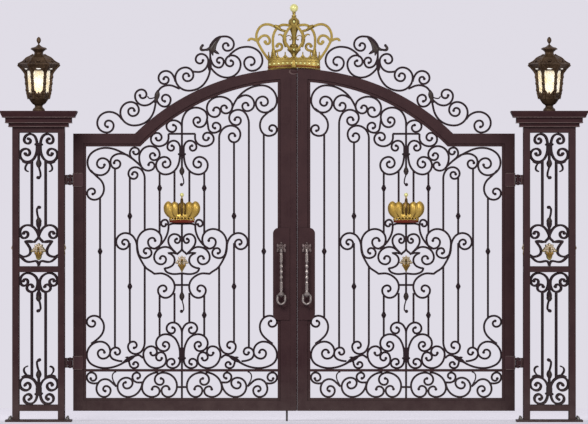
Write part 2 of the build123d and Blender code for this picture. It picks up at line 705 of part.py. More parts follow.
# --- rosettes and small crown ---------------------------------------------------------
def rosette(x, z, face, reach):
    """Round flower of eight petals between two leaves, on the street side of the bars."""
    fit = lambda dx, dz: (x + dx, z + dz)
    leaves = leaf_pair(fit, 0, -0.1 * reach, reach, -0.4 * reach, 0.5 * reach)
    petals = joined([leaf_shape(fit, 0, 0, *step(a, 0.7 * reach), 0.4 * reach)
                     for a in range(0, 360, 45)])
    flower = plate(joined(leaves + [bead(x, z, 0.5 * reach)]), 6, face - 3)
    flower += plate(petals, 12, face - 6)
    flower += Pos(x, face - 12, z) * Sphere(0.2 * reach)
    calyx = plate(leaf_shape(fit, 0, -1.6 * reach, 0, -0.4 * reach, 0.7 * reach), 10, face - 5)
    return flower + calyx


def small_crown():
    """Puffed crown on an oval band: five spindle gores in a fan, and a ball finial."""
    x, z = in_field_middle(0, small_crown_base)
    band = Ellipse(small_crown_half_width, small_crown_depth / 2)
    crown = Pos(x, leaf_y, z) * extrude(band, small_crown_band)
    foot = z + small_crown_band
    gore = turned(0, 0, [(16, -12), (27, 38), (31, 78), (26, 106), (4, 121)])
    for k in range(-2, 3):
        crown += Pos(x + 37 * k, leaf_y, foot) * Rot(0, 13 * k, 0) * gore
    crown += turned(x, leaf_y, [(12, foot + 100), (7, foot + 132), (5, foot + 166)])
    return crown + Pos(x, leaf_y, foot + 180) * Sphere(15)


def make_scrollwork():
    patterns = {
        "top_scrolls": top_pattern(),
        "centre_scrolls": centre_pattern(),
        "lower_scrolls": lower_pattern(),
        "plinth_scrolls": plinth_pattern(),
        "crest_scrolls": crest_pattern(),
    }
    f = in_field_middle
    collars = {
        "top_scrolls": [collar(f, 0, 2056, leaf_y, 46)],
        "lower_scrolls": [collar(f, 0, 485, leaf_y, 46)],
    }
    crown = small_crown()
    keep_leaf("small_crown", crown)
    for name, pattern in patterns.items():
        work = plate(pattern, bar, leaf_y)
        for band in collars.get(name, []):
            work += band
        keep_leaf(name, work - crown)
    x, z = f(0, 1238)
    keep_leaf("rosette", rosette(x, z, bar_face, 52))
    in_the_way = patterns["top_scrolls"] + patterns["centre_scrolls"]
    make_bars(in_the_way + patterns["lower_scrolls"], crown)


# --- large crown over the meeting line ------------------------------------------------
def crown_arch(points, y, inner=None, outer=None):
    fit = lambda x, z: (x * crown_half_width / 201, z)
    faces = joined(pair(fit, points, inner, outer, crown_bar))
    return plate(faces, crown_bar, y)


def make_crown():
    """Crown of bent bars on an oval band, carried by a saddle on the left leaf's arch."""
    low = arch_top + crown_clearance
    high = low + crown_band_height
    band = extrude(Ellipse(crown_half_width, crown_depth / 2), high - arch_centre)
    band = Pos(0, leaf_y, arch_centre) * band
    over = Pos(0, leaf_y, arch_centre) * Rot(90, 0, 0) * Cylinder(
        arch_radius + crown_clearance, 2 * crown_depth)
    crown = band - over
    near, far = 18, 30
    crown += crown_arch([(-196, 2784, 125), (-262, 2885, 118), (-290, 2960, 90),
                         (-209, 3056, 0), (-130, 3028, -32), (-60, 3002, -10)], leaf_y)
    for s in (-1, 1):
        crown += crown_arch([(-146, 2784, 100), (-163, 2934, 90), (-125, 3032, 45),
                             (-80, 3052, 0), (-20, 3045, -10)], leaf_y + s * near)
        crown += crown_arch([(-30, 2862, 125), (-72, 2955, 85), (-52, 3006, 60),
                             (-20, 3048, 60)], leaf_y + s * far)
    crown += crown_arch([(-280, 2925, 65), (-224, 2970, 0), (-186, 2925, 270)], leaf_y, None,
                        (20, 2))
    crown += crown_arch([(-150, 2836, 60), (-114, 2856, 10), (-92, 2884, 90)], leaf_y + near,
                        None, (22, 2))
    crown += crown_arch([(-292, 2926, 120), (-330, 2944, 180), (-350, 2926, 270)], leaf_y)
    stem = [(14, high - 4), (22, 2822), (46, 2850), (50, 2864), (44, 2878), (20, 2900),
            (16, 2925), (22, 2990), (40, 3055), (43, 3075), (30, 3098), (12, 3125), (16, 3156)]
    crown += turned(0, leaf_y, stem)
    crown += Pos(0, leaf_y, crown_ball_height) * Sphere(crown_ball)
    ring = Pos(0, arch_centre) * (Circle(arch_radius + crown_clearance) - Circle(arch_radius))
    right = meeting_half_gap - running_gap
    saddle = ring & flat_box(-0.9 * crown_half_width, right, arch_centre, arch_top + 100)
    keep("gate_crown", Pos(gate_x, 0, 0) * (crown + plate(saddle, frame_depth, leaf_y)))


# --- pillars --------------------------------------------------------------------------
def corner(sx, sy):
    a, b = pillar_inner, pillar_width / 2
    tube = block(a, b, a, b, base_plate_thickness, pillar_height)
    return Rot(0, 0, {(1, 1): 0, (-1, 1): 90, (-1, -1): 180, (1, -1): 270}[sx, sy]) * tube


def around(piece):
    """The piece on all four faces of a pillar, opposite faces mirroring each other."""
    front_and_back = [piece, mirror(piece, Plane.XZ)]
    return front_and_back + [Rot(0, 0, 90) * face for face in front_and_back]


def pillar_panel():
    """Scrolls of one pillar face, drawn about its middle line."""
    top = in_pillar(pillar_height - pillar_rail, 2220)
    middle = in_pillar(pillar_mid_rail, 1149)
    low = in_pillar(pillar_low_rail + pillar_rail, 129)
    shapes = pair(top, [(13, 2130, 90), (66, 2210, 0), (112, 2165, 270)], None, (28, 3, 0.75))
    shapes += pair(top, [(13, 2100, 270), (88, 1997, 0), (144, 2052, 90)], None, (45, 4, 0.68))
    shapes += leaf_pair(top, 50, 1990, 128, 1996, 26)
    shapes += pair(top, [(86, 1990, -65), (104, 1945, 270), (80, 1922, 190)], width=thin_bar)
    shapes.append(rod(top, 0, 2090, 0, 2142, 42))
    shapes.append(rod(top, 0, 1998, 0, 2100))
    shapes += tail(top, 0, 2020, 1875, 1)
    shapes += pair(middle, [(112, 1410, 0), (144, 1455, 90), (85, 1510, 180), (0, 1424, -103),
                            (-36, 1375, 240)], (30, 3, 0.68))
    shapes += leaf_pair(middle, 26, 1378, 110, 1390, 24)
    shapes += pair(middle, [(104, 1388, 235), (63, 1307, 270), (117, 1267, 0), (152, 1282, 30)])
    shapes += pair(middle, [(139, 1267, 225), (74, 1227, 180), (30, 1234, 170), (0, 1196, 270)])
    shapes += tail(middle, 0, 1480, 1647, -1)
    shapes.append(rod(middle, 0, 1424, 0, 1490))
    shapes += pair(middle, [(113, 1044, 0), (143, 1083, 90), (85, 1142, 180), (8, 1070, 270),
                            (55, 997, 0), (91, 1027, 90)], (30, 3, 0.7), (27, 2, 0.65))
    shapes.append(rod(middle, 0, 1000, 0, 1085))
    shapes += tail(middle, 0, 1010, 852, 1)
    shapes += pair(low, [(10, 254, 90), (94, 343, 0), (146, 288, 270)], None, (48, 4, 0.7))
    shapes += pair(low, [(12, 212, 270), (69, 136, 0), (114, 176, 90)], None, (34, 3, 0.68))
    shapes += leaf_pair(low, 56, 350, 134, 346, 26)
    shapes += pair(low, [(90, 350, 60), (114, 400, 95), (84, 424, 185)], width=thin_bar)
    shapes.append(rod(low, 0, 200, 0, 262, 42))
    shapes.append(rod(low, 0, 262, 0, 330))
    shapes += tail(low, 0, 325, 473, -1)
    return joined(shapes) & flat_box(-pillar_inner, pillar_inner, 0, pillar_height)


def make_pillar_rails():
    rails = []
    half = pillar_width / 2
    for z in (pillar_low_rail, pillar_mid_rail, pillar_height - pillar_rail):
        rails += around(block(-pillar_inner, pillar_inner, -half, -pillar_inner, z, z + pillar_rail))
    keep_pillar("pillar_rails", *rails)
    return rails


def make_pillar_panels(rails):
    panel = pillar_panel()
    y = -(pillar_width - pillar_tube) / 2
    work = plate(panel, bar, y)
    work += collar(lambda x, z: (x, z), 0, pillar_height - pillar_rail - 90, y, 44)
    work += collar(lambda x, z: (x, z), 0, pillar_low_rail + pillar_rail + 84, y, 44)
    for rail in rails:
        work -= rail
    panels = around(work)
    fits = (in_pillar(pillar_mid_rail, 1149), in_pillar(pillar_height - pillar_rail, 2220),
            in_pillar(pillar_low_rail + pillar_rail, 129))
    for s in (-1, 1):
        for low, high in ((fits[0](53 * s, 1504), fits[1](53 * s, 2012)),
                          (fits[2](53 * s, 326), fits[0](53 * s, 1000))):
            x = low[0]
            outline = flat_box(x - bar / 2, x + bar / 2, low[1], high[1]) - panel
            panels += around(plate(outline, bar, y))
    keep_pillar("pillar_scrolls", *panels)
    flower = rosette(0, pillar_mid_rail + 183, y - bar / 2, 58)
    keep_pillar("pillar_rosettes", *around(flower))


def make_base():
    half = base_plate_width / 2
    base = block(-half, half, -half, half, 0, base_plate_thickness)
    for sx in (-1, 1):
        for sy in (-1, 1):
            x, y = sx * anchor_spacing / 2, sy * anchor_spacing / 2
            base -= post(x, y, 0, base_plate_thickness, anchor_radius)
    keep_pillar("base_plate", base)


def square_layer(width, top_width, z0, z1):
    lower = Pos(0, 0, z0) * Rectangle(width, width)
    upper = Pos(0, 0, z1) * Rectangle(top_width, top_width)
    return loft([lower, upper], ruled=True)


def make_cap():
    """Stepped cap: seat, step, a sloping throat and a flat lip."""
    z0 = pillar_height
    z1 = z0 + cap_seat_height
    z2 = z1 + cap_step_height
    throat = z2 + 0.8 * cap_lip_height
    lip_foot = cap_width - 38
    cap = square_layer(cap_seat_width, cap_seat_width, z0, z1)
    cap += square_layer(cap_step_width, cap_step_width, z1, z2)
    cap += square_layer(lip_foot, cap_width, z2, throat)
    cap += square_layer(cap_width, cap_width, throat, cap_top)
    keep_pillar("pillar_cap", cap)


# --- lanterns -------------------------------------------------------------------------
def hexagon(side, z):
    """Six sided section with a flat side to the street."""
    return Pos(0, 0, z) * RegularPolygon(side, 6, rotation=0)


def hex_stack(levels):
    """Six sided body through (side, height) levels."""
    body = Part()
    for (s0, z0), (s1, z1) in zip(levels, levels[1:]):
        body += loft([hexagon(s0, z0), hexagon(s1, z1)], ruled=True)
    return body


def make_lantern():
    z = cap_top
    side = lantern_side
    foot = turned(0, 0, [(48, z), (46, z + 12), (36, z + 24), (30, z + 34), (44, z + 51),
                         (62, z + 72), (74, z + 90)])
    keep_pillar("lantern_foot", foot)
    tray, sill, head, brim = z + 90, z + 122, z + 316, z + 336
    body = hex_stack([(side - 22, tray), (side - 15, sill), (side - 3, head - 56),
                      (side + 2, head - 26), (side + 20, head - 3), (side + 40, brim)])
    slim = side - lantern_wall
    hollow = hex_stack([(slim - 16, tray + 10), (slim - 14, sill), (slim, head), (slim, brim)])
    body -= hollow
    pane = block(-0.4 * side, 0.4 * side, -2 * side, 0, sill, head - 6)
    for k in range(6):
        body -= Rot(0, 0, 60 * k) * pane
    keep_pillar("lantern_body", body)
    slim -= glass_gap
    glass = hex_stack([(slim - 15.8, tray + 10), (slim - 14, sill), (slim, head)])
    thin = slim - glass_thickness
    glass -= hex_stack([(thin - 15.8, tray + 10), (thin - 14, sill), (thin, head)])
    keep_pillar("lantern_glass", glass)
    roof = hex_stack([(side + 40, brim), (164, brim + 25), (125, brim + 42), (109, brim + 60),
                      (92, brim + 76), (61, brim + 88), (44, brim + 100)])
    tip = z + 570
    roof += turned(0, 0, [(40, brim + 98), (34, brim + 112), (42, brim + 124),
                          (50, brim + 131), (65, brim + 139), (60, brim + 146),
                          (40, brim + 154), (22, brim + 162), (14, brim + 169),
                          (6, brim + 177), (8, brim + 186), (17, tip - 30), (3, tip)])
    keep_pillar("lantern_roof", roof)


def make_pillars():
    keep_pillar("corner_posts", *[corner(sx, sy) for sx in (-1, 1) for sy in (-1, 1)])
    rails = make_pillar_rails()
    make_pillar_panels(rails)
    make_base()
    make_cap()
    make_lantern()


make_frame()
make_hinges()
make_meeting_strip()
make_handles()
make_drop_bolt()
make_scrollwork()
make_crown()
make_pillars()
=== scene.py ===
import math

import bpy
from mathutils import Matrix, Vector


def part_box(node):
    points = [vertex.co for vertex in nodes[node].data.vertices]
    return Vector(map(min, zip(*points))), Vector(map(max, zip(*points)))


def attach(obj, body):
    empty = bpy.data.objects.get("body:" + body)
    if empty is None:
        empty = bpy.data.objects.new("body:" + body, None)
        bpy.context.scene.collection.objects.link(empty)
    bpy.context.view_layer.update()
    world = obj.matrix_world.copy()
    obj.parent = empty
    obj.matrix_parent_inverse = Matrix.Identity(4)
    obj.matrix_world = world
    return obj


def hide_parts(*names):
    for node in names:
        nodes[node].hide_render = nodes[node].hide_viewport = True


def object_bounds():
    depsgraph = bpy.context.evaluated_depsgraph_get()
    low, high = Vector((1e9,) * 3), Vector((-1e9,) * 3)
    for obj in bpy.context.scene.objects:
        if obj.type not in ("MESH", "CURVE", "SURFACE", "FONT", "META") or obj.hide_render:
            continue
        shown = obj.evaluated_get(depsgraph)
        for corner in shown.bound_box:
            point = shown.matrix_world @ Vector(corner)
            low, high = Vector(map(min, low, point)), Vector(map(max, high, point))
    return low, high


# A double driveway gate of wrought iron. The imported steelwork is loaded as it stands; each
# section below finishes one group of its pieces and adds the cast and forged ornament on it.
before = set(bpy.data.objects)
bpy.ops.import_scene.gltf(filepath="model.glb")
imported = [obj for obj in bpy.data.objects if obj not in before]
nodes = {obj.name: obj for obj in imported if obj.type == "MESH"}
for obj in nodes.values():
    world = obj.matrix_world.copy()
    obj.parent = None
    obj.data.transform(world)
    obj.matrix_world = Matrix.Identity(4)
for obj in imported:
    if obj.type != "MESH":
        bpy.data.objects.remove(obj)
bpy.ops.object.select_all(action="DESELECT")
cad_low, cad_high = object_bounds()
gate_x = (cad_low[0] + cad_high[0]) / 2


# --- welded frame ---------------------------------------------------------------------
# Posts, rails and stiles are square and rectangular steel tube, mitred, welded and sprayed
# with a satin dark brown paint that has dulled, streaked under rain and picked up dust.
def feed(tree, node, **inputs):
    """Sets a node's inputs to values, or links them to the sockets given."""
    for name, value in inputs.items():
        socket = node.inputs[name.replace("_", " ")]
        if isinstance(value, bpy.types.NodeSocket):
            tree.links.new(value, socket)
        else:
            socket.default_value = value
    return node


def add_node(tree, kind, **inputs):
    return feed(tree, tree.nodes.new("ShaderNode" + kind), **inputs)


def noise(tree, place, scale, detail=2.0, roughness=0.5):
    return add_node(tree, "TexNoise", Vector=place, Scale=scale, Detail=detail,
                    Roughness=roughness).outputs["Fac"]


def ranged(tree, value, **limits):
    return add_node(tree, "MapRange", Value=value, **limits).outputs["Result"]


def worked_out(tree, operation, *terms):
    """Result of one operation on two or three sockets."""
    node = tree.nodes.new("ShaderNodeMath")
    node.operation = operation
    for socket, term in zip(node.inputs, terms):
        tree.links.new(term, socket)
    return node.outputs["Value"]


def blended(tree, share, first, second, blend="MIX"):
    """Colour from the first to the second as the share rises; each is a socket or a tuple."""
    node = tree.nodes.new("ShaderNodeMix")
    node.data_type = "RGBA"
    node.blend_type = blend
    tree.links.new(share, node.inputs[0])
    for socket, colour in zip(node.inputs[6:8], (first, second)):  # its two colours
        if isinstance(colour, tuple):
            socket.default_value = (*colour, 1)
        else:
            tree.links.new(colour, socket)
    return node.outputs[2]


def make_weathered_paint():
    """Shader group: mottle, rain streaks, dust near the ground, painted shade in the hollows,
    orange peel.
    """
    group = bpy.data.node_groups.new("weathered_paint", "ShaderNodeTree")
    for way, kind, names in (("INPUT", "Color", ("Color", "Faded", "Worn")),
                             ("INPUT", "Float", ("Wear", "Gloss", "Hollows", "Lumps")),
                             ("OUTPUT", "Color", ("Color",)),
                             ("OUTPUT", "Float", ("Roughness", "Height"))):
        for name in names:
            group.interface.new_socket(name, in_out=way, socket_type="NodeSocket" + kind)
    given = group.nodes.new("NodeGroupInput").outputs
    place = add_node(group, "TexCoord").outputs["Object"]

    mottle = noise(group, place, 9.0, 6.0, 0.6)
    stretched = add_node(group, "Mapping", Vector=place, Scale=(60.0, 60.0, 1.6))
    rain = noise(group, stretched.outputs["Vector"], 1.0, 3.0, 0.55)
    dulled = worked_out(group, "MAXIMUM", ranged(group, mottle, From_Min=0.35, From_Max=0.7),
                        ranged(group, rain, From_Min=0.48, From_Max=0.78))
    faded = blended(group, dulled, given["Color"], given["Faded"])

    chips = ranged(group, noise(group, place, 140.0, 4.0, 0.7), From_Min=0.66, From_Max=0.74)
    bare = worked_out(group, "MULTIPLY", chips, given["Wear"])
    worn = blended(group, bare, faded, given["Worn"])

    height = add_node(group, "SeparateXYZ", Vector=place).outputs["Z"]
    low = ranged(group, height, From_Min=0.45, From_Max=0.0, To_Max=0.35)
    dust = worked_out(group, "MULTIPLY", low, mottle)
    dusty = blended(group, dust, worn, (0.19, 0.16, 0.14))
    # Painted shade: ambient occlusion makes the colour darker in hollows, in creases and between
    # parts.
    shelter = add_node(group, "AmbientOcclusion", Distance=0.022)
    shelter.samples = 8
    sheltered = ranged(group, shelter.outputs["AO"], From_Min=0.85, From_Max=0.30)
    painted_hollow_shade = worked_out(group, "MULTIPLY", sheltered, given["Hollows"])
    dark = blended(group, painted_hollow_shade, dusty, (0.20, 0.13, 0.08), "MULTIPLY")

    dull = ranged(group, dulled, From_Max=1.0, To_Min=-0.06, To_Max=0.14)
    rough = worked_out(group, "ADD", given["Gloss"], dull)
    peel = noise(group, place, 420.0)
    lump = noise(group, place, 70.0, 3.0, 0.6)
    relief = worked_out(group, "MULTIPLY_ADD", lump, given["Lumps"], peel)
    feed(group, group.nodes.new("NodeGroupOutput"), Color=dark, Roughness=rough, Height=relief)
    return group


weathered_paint = make_weathered_paint()


def new_material(name):
    made = bpy.data.materials.new(name)
    made.use_nodes = True
    return made, made.node_tree, made.node_tree.nodes["Principled BSDF"]


def painted(name, colour, faded, worn, wear=0.5, gloss=0.42, metallic=0.0, bump=0.0004,
            hollows=0.5, lumps=0.0, edge=0.003):
    """Material of paint or patina over metal, from the weathered_paint group."""
    made, tree, shader = new_material(name)
    coat = tree.nodes.new("ShaderNodeGroup")
    coat.node_tree = weathered_paint
    feed(tree, coat, Color=(*colour, 1), Faded=(*faded, 1), Worn=(*worn, 1), Wear=wear,
         Gloss=gloss, Hollows=hollows, Lumps=lumps)
    rounding = add_node(tree, "Bevel", Radius=edge)
    rounding.samples = 4
    relief = add_node(tree, "Bump", Strength=0.35, Distance=bump, Height=coat.outputs["Height"],
                      Normal=rounding.outputs["Normal"])
    feed(tree, shader, Metallic=metallic, Specular_IOR_Level=0.2, Normal=relief.outputs["Normal"],
         Base_Color=coat.outputs["Color"], Roughness=coat.outputs["Roughness"])
    return made


def finish_nodes(words, made):
    """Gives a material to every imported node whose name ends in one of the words."""
    for name, node in nodes.items():
        if name.endswith(tuple(words)):
            for place in node.material_slots:
                place.material = made


frame_browns = (0.036, 0.012, 0.014), (0.050, 0.020, 0.021), (0.10, 0.065, 0.05)
brown_paint = painted("brown_paint", *frame_browns, wear=0.35, gloss=0.5)
finish_nodes(["corner_posts", "pillar_rails", "hinge_stile", "lock_stile", "bottom_rail",
              "top_rail", "mid_rail", "meeting_strip", "base_plate", "handle_plate"],
             brown_paint)
dull_brown = painted("dull_brown", *frame_browns, wear=0.35, gloss=0.75, bump=0.0001)
finish_nodes(["pillar_cap"], dull_brown)


# --- closing buffer -------------------------------------------------------------------
# A ribbed strip of black rubber, glued along the edge of the meeting strip, fills the running
# gap and takes the knock of the right leaf.
def pick(*things):
    bpy.ops.object.select_all(action="DESELECT")
    for thing in things:
        thing.select_set(True)
    bpy.context.view_layer.objects.active = things[0]


def settle(thing, name, body, made):
    """Names a finished piece, applies its place, gives its material and the body it moves with."""
    pick(thing)
    bpy.ops.object.transform_apply(location=True, rotation=True, scale=True)
    thing.name = thing.data.name = name
    thing.data.materials.clear()
    thing.data.materials.append(made)
    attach(thing, body)
    return thing


def edit_all(*steps):
    """Runs each mesh operator on the whole of the active mesh."""
    bpy.ops.object.mode_set(mode="EDIT")
    for step in steps:
        bpy.ops.mesh.select_all(action="SELECT")
        step()
    bpy.ops.object.mode_set(mode="OBJECT")


def smoothed(angle):
    """The active piece, shaded smooth where its faces turn by less than the angle."""
    bpy.ops.object.shade_smooth_by_angle(angle=math.radians(angle))
    return bpy.context.object


def rounded_block(low, high, edge, segments=2):
    """Block between two corners with its edges rounded."""
    low, high = Vector(low), Vector(high)
    bpy.ops.mesh.primitive_cube_add(size=1, location=(low + high) / 2)
    bpy.context.object.scale = high - low
    bpy.ops.object.transform_apply(location=False, rotation=False, scale=True)
    edit_all(lambda: bpy.ops.mesh.bevel(offset=edge, segments=segments))
    return smoothed(50)


def welded(*things):
    """Several meshes made one, which takes the place of the first."""
    pick(*things)
    if len(things) > 1:
        bpy.ops.object.join()
    return bpy.context.object


strip_low, strip_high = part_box("meeting_strip")
strip_y = (strip_low[1] + strip_high[1]) / 2
rib_pitch, rib_half = 0.0088, 0.0046
short_rib, long_rib = 0.003, 0.0055
rubber = painted("black_rubber", (0.010, 0.008, 0.009), (0.020, 0.017, 0.018),
                 (0.04, 0.035, 0.03), wear=0.3, gloss=0.75)
buffer = []
for k in range(-2, 3):
    y = strip_y + rib_pitch * k
    reach = short_rib if k % 2 else long_rib
    buffer.append(rounded_block((strip_high[0] - 0.002, y - rib_half, strip_low[2] + 0.004),
                                (strip_high[0] + reach, y + rib_half, strip_high[2] + 0.0055),
                                0.0004))
settle(welded(*buffer), "closing_buffer", "left_leaf", rubber)


# --- anchor bolts ---------------------------------------------------------------------
# Each post stands on four threaded anchors set in the ground: a zinc plated stud through the
# base plate, with a washer and a nut.
def copied(thing, change):
    """Copy of a piece, with its own mesh changed by a matrix."""
    twin = bpy.data.objects.new("copy", thing.data.copy())
    bpy.context.collection.objects.link(twin)
    twin.data.transform(change)
    return twin


def both_sides(thing, name, bodies, made):
    """Settles a left piece and its mirror image on the right, each on its own body."""
    left = settle(thing, "left_" + name, bodies[0], made)
    across = Matrix.Translation((2 * gate_x, 0, 0)) @ Matrix.Scale(-1, 4, (1, 0, 0))
    twin = copied(left, across)
    twin.data.flip_normals()
    return left, settle(twin, "right_" + name, bodies[1], made)


def disc(x, y, z0, z1, radius, sides=24, edge=0.0012):
    """Upright disc, stud or nut with its rims broken."""
    bpy.ops.mesh.primitive_cylinder_add(vertices=sides, radius=radius, depth=z1 - z0,
                                        location=(x, y, (z0 + z1) / 2))
    edit_all(lambda: bpy.ops.mesh.bevel(offset=edge, segments=1))
    return smoothed(40)


LEAVES = ("left_leaf", "right_leaf")
POSTS = ("posts", "posts")
zinc = painted("dull_zinc", (0.34, 0.33, 0.31), (0.22, 0.20, 0.18), (0.20, 0.10, 0.05),
               wear=0.9, gloss=0.4, metallic=0.85)
plate_low, plate_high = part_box("left_base_plate")
post_x = (plate_low[0] + plate_high[0]) / 2
anchor_from_middle = 0.220
stud, washer, nut = 0.008, 0.017, 0.0138  # radii
anchors = []
for sx in (-1, 1):
    for sy in (-1, 1):
        x, y, z = post_x + sx * anchor_from_middle, sy * anchor_from_middle, plate_high[2]
        anchors += [disc(x, y, z, z + 0.003, washer), disc(x, y, z + 0.003, z + 0.016, nut, 6),
                    disc(x, y, 0.002, z + 0.028, stud)]
both_sides(welded(*anchors), "anchor_bolts", POSTS, zinc)


# --- beads under the caps -------------------------------------------------------------
# A thin half round bead of steel runs under each step of a cap. It is welded on and painted
# pale brown: a painted highlight along the edge of each step.
def slab(x0, x1, y, deep, z, tall, edge, segments=2):
    """Rounded block from x0 to x1, as deep and tall as given to each side of y and z."""
    return rounded_block((x0, y - deep, z - tall), (x1, y + deep, z + tall), edge, segments)


# Painted highlight: a pale brown that stands for light caught on edges, on beads, welds and the
# boss rim.
painted_highlight_brown = painted("painted_highlight_brown", (0.150, 0.100, 0.095), (0.110, 0.066, 0.062),
                       (0.24, 0.19, 0.17), wear=0.8, gloss=0.38, hollows=0.0)
beads = [slab(post_x - half, post_x + half, 0, half, z, 0.003, 0.0025, 3)
         for z, half in ((2.2665, 0.2315), (2.2965, 0.2560), (2.3385, 0.2790))]
both_sides(welded(*beads), "cap_beads", POSTS, painted_highlight_brown)


# --- scrollwork, bars and bolt --------------------------------------------------------
# Square bar, bent hot over a jig into scrolls, welded where it touches and finished in a
# nearly black satin paint; the drop bolt is bare steel.
dark_iron = painted("dark_iron", (0.016, 0.006, 0.009), (0.026, 0.011, 0.015),
                    (0.052, 0.032, 0.033), wear=0.35, gloss=0.50, edge=0.005)
finish_nodes(["scrolls", "bars", "bolt_guides"], dark_iron)
bare_steel = painted("bare_steel", (0.20, 0.19, 0.185), (0.13, 0.12, 0.115),
                     (0.16, 0.08, 0.04), wear=0.8, gloss=0.38, metallic=0.9)
finish_nodes(["drop_bolt"], bare_steel)


# --- hinge sleeves and welds ----------------------------------------------------------
# Turned sleeves thicken the steel knuckles of the hinges, two on the leaf and one on the
# post's arm, each with a filling strip; beads of weld run along the bands and the arms, and
# their pale brown is a painted highlight.
# Painted light: the hinges get a lighter copy of the frame's brown, with no shade in its hollows,
# to offset the post's shadow.
lit_hinge_brown = painted("lit_hinge_brown", (0.060, 0.025, 0.029), (0.078, 0.036, 0.038),
                      (0.13, 0.085, 0.07), wear=0.5, gloss=0.5, hollows=0.0)
finish_nodes(["hinge_straps", "hinge_brackets"], lit_hinge_brown)
strap_low, strap_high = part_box("left_hinge_straps")
stile_low, stile_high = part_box("left_hinge_stile")
leaf_y = (stile_low[1] + stile_high[1]) / 2
band_tall = 0.100
post_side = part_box("left_hinge_brackets")[0][0]
pin_x = post_side + 0.038
sleeve, pin_head = 0.0183, 0.010  # radii
knuckle, ear = 0.0175, 0.0385  # ends of the fixed and the turning sleeves from the middle
strip_deep, strip_tall = 0.011, 0.0375
turning, fixed, seams, roots = [], [], [], []
for middle in (strap_low[2] + band_tall / 2, strap_high[2] - band_tall / 2):
    fixed.append(disc(pin_x, leaf_y, middle - knuckle, middle + knuckle, sleeve, 36))
    for s in (-1, 1):
        ends = sorted((middle + s * (knuckle + 0.001), middle + s * ear))
        turning.append(disc(pin_x, leaf_y, *ends, sleeve, 36))
        ends = sorted((middle + s * ear, middle + s * (ear + 0.003)))
        turning.append(disc(pin_x, leaf_y, *ends, pin_head, 6, 0.001))
        z = middle + s * 0.051 - 0.001
        for y in (strap_low[1] + 0.001, strap_high[1] - 0.0025):
            seams.append(slab(stile_low[0] + 0.002, stile_low[0] + 0.070, y, 0.0035, z, 0.0035,
                              0.003, 3))
    for s in (-1, 1):
        roots.append(slab(post_side + 0.003, post_side + 0.011, leaf_y + s * 0.0145, 0.0025,
                          middle, 0.036, 0.002, 3))
    seams.append(slab(stile_low[0] - 0.003, stile_low[0] + 0.006, strap_low[1], 0.0025, middle,
                      0.044, 0.002, 3))
    turning.append(slab(stile_low[0] - 0.0052, stile_low[0] - 0.0035, leaf_y, strip_deep, middle,
                        strip_tall, 0.0004))
    fixed.append(slab(post_side + 0.0175, post_side + 0.0192, leaf_y, strip_deep, middle,
                      strip_tall, 0.0004))
both_sides(welded(*turning), "turning_sleeves", LEAVES, lit_hinge_brown)
both_sides(welded(*fixed), "fixed_sleeves", POSTS, lit_hinge_brown)
both_sides(welded(*seams), "hinge_welds", LEAVES, painted_highlight_brown)
both_sides(welded(*roots), "bracket_welds", POSTS, painted_highlight_brown)


# --- leaves of the crest --------------------------------------------------------------
# Over each arch one scroll grows out of a fluted sheath forged round the bar, with pointed
# leaflets at its foot; smaller sheaths cover the welds where scrolls part.
def husk(spine, halves, depth=0.6, flutes=0, groove=0.10, rings=22):
    """Closed leaf or sheath along a bent spine, its half width read from evenly spaced halves."""
    bpy.ops.mesh.primitive_uv_sphere_add(segments=24, ring_count=rings, radius=1,
                                         location=(0, 0, 0))
    start, middle, end = (Vector(place) for place in spine)
    for corner in bpy.context.object.data.vertices:
        x, y, z = corner.co
        u = (z + 1) / 2
        spot = u * (len(halves) - 1)
        k = min(int(spot), len(halves) - 2)
        half = halves[k] + (halves[k + 1] - halves[k]) * (spot - k)
        angle = math.atan2(y, x)
        half *= 1 + groove * math.cos(flutes * angle)
        if math.hypot(x, y) < 0.001:
            half = 0
        ahead = (middle - start) * (1 - u) + (end - middle) * u
        beside = ahead.cross(Vector((0, 1, 0))).normalized()
        centre = start * (1 - u) ** 2 + middle * 2 * u * (1 - u) + end * u * u
        out = Vector((0, depth * half * math.sin(angle), 0))
        corner.co = centre + beside * half * math.cos(angle) + out
    edit_all(lambda: bpy.ops.mesh.normals_make_consistent(inside=False))
    return smoothed(60)


def leaf_on_crest(points, halves, depth, flutes=0):
    return husk([(gate_x + x, leaf_y, z) for x, z in points], halves, depth, flutes)


rubbed_iron = painted("rubbed_iron", (0.040, 0.028, 0.026), (0.070, 0.054, 0.046),
                      (0.17, 0.14, 0.12), wear=0.9, gloss=0.34, hollows=0.9)
sheath = [0.004, 0.023, 0.025, 0.022, 0.018, 0.0145, 0.012, 0.0105, 0.0095, 0.007]
small_sheath = [0.004, 0.013, 0.019, 0.018, 0.014, 0.010, 0.006]
leaflet = [0.010, 0.012, 0.010, 0.007, 0.003]
tendril = [0.006, 0.0075, 0.0078, 0.0085, 0.0105, 0.009]
leaves = [leaf_on_crest(*shape) for shape in (
    ([(-0.637, 2.836), (-0.622, 2.900), (-0.562, 2.966)], sheath, 0.8, 8),
    ([(-0.640, 2.868), (-0.628, 2.840), (-0.624, 2.814)], leaflet, 0.8, 4),
    ([(-0.625, 2.872), (-0.604, 2.836), (-0.575, 2.828)], leaflet, 0.8, 4),
    ([(-0.646, 2.876), (-0.664, 2.856), (-0.692, 2.858)], leaflet, 0.8, 4),
    ([(-0.676, 2.860), (-0.738, 2.844), (-0.708, 2.890)], tendril, 0.9),
    ([(-1.048, 2.552), (-1.052, 2.500), (-1.072, 2.448)], small_sheath, 0.8, 6))]
both_sides(welded(*leaves), "crest_leaves", LEAVES, rubbed_iron)


# --- buds on the curled stems ---------------------------------------------------------
# Each hanging or rising stem has a forged bud above its curl: four leaves folded round the
# bar. The one under the arch and the one under the rosette hang, those on the posts do both.
def bud(x, y, z, tall, wide):
    swell = [0.15, 0.62, 0.9, 1.0, 0.86, 0.6, 0.3]
    return husk([(x, y, z - tall / 2), (x, y, z), (x, y, z + tall / 2)],
                [share * wide / 2 for share in swell], 1.0, 4, 0.16, 12)


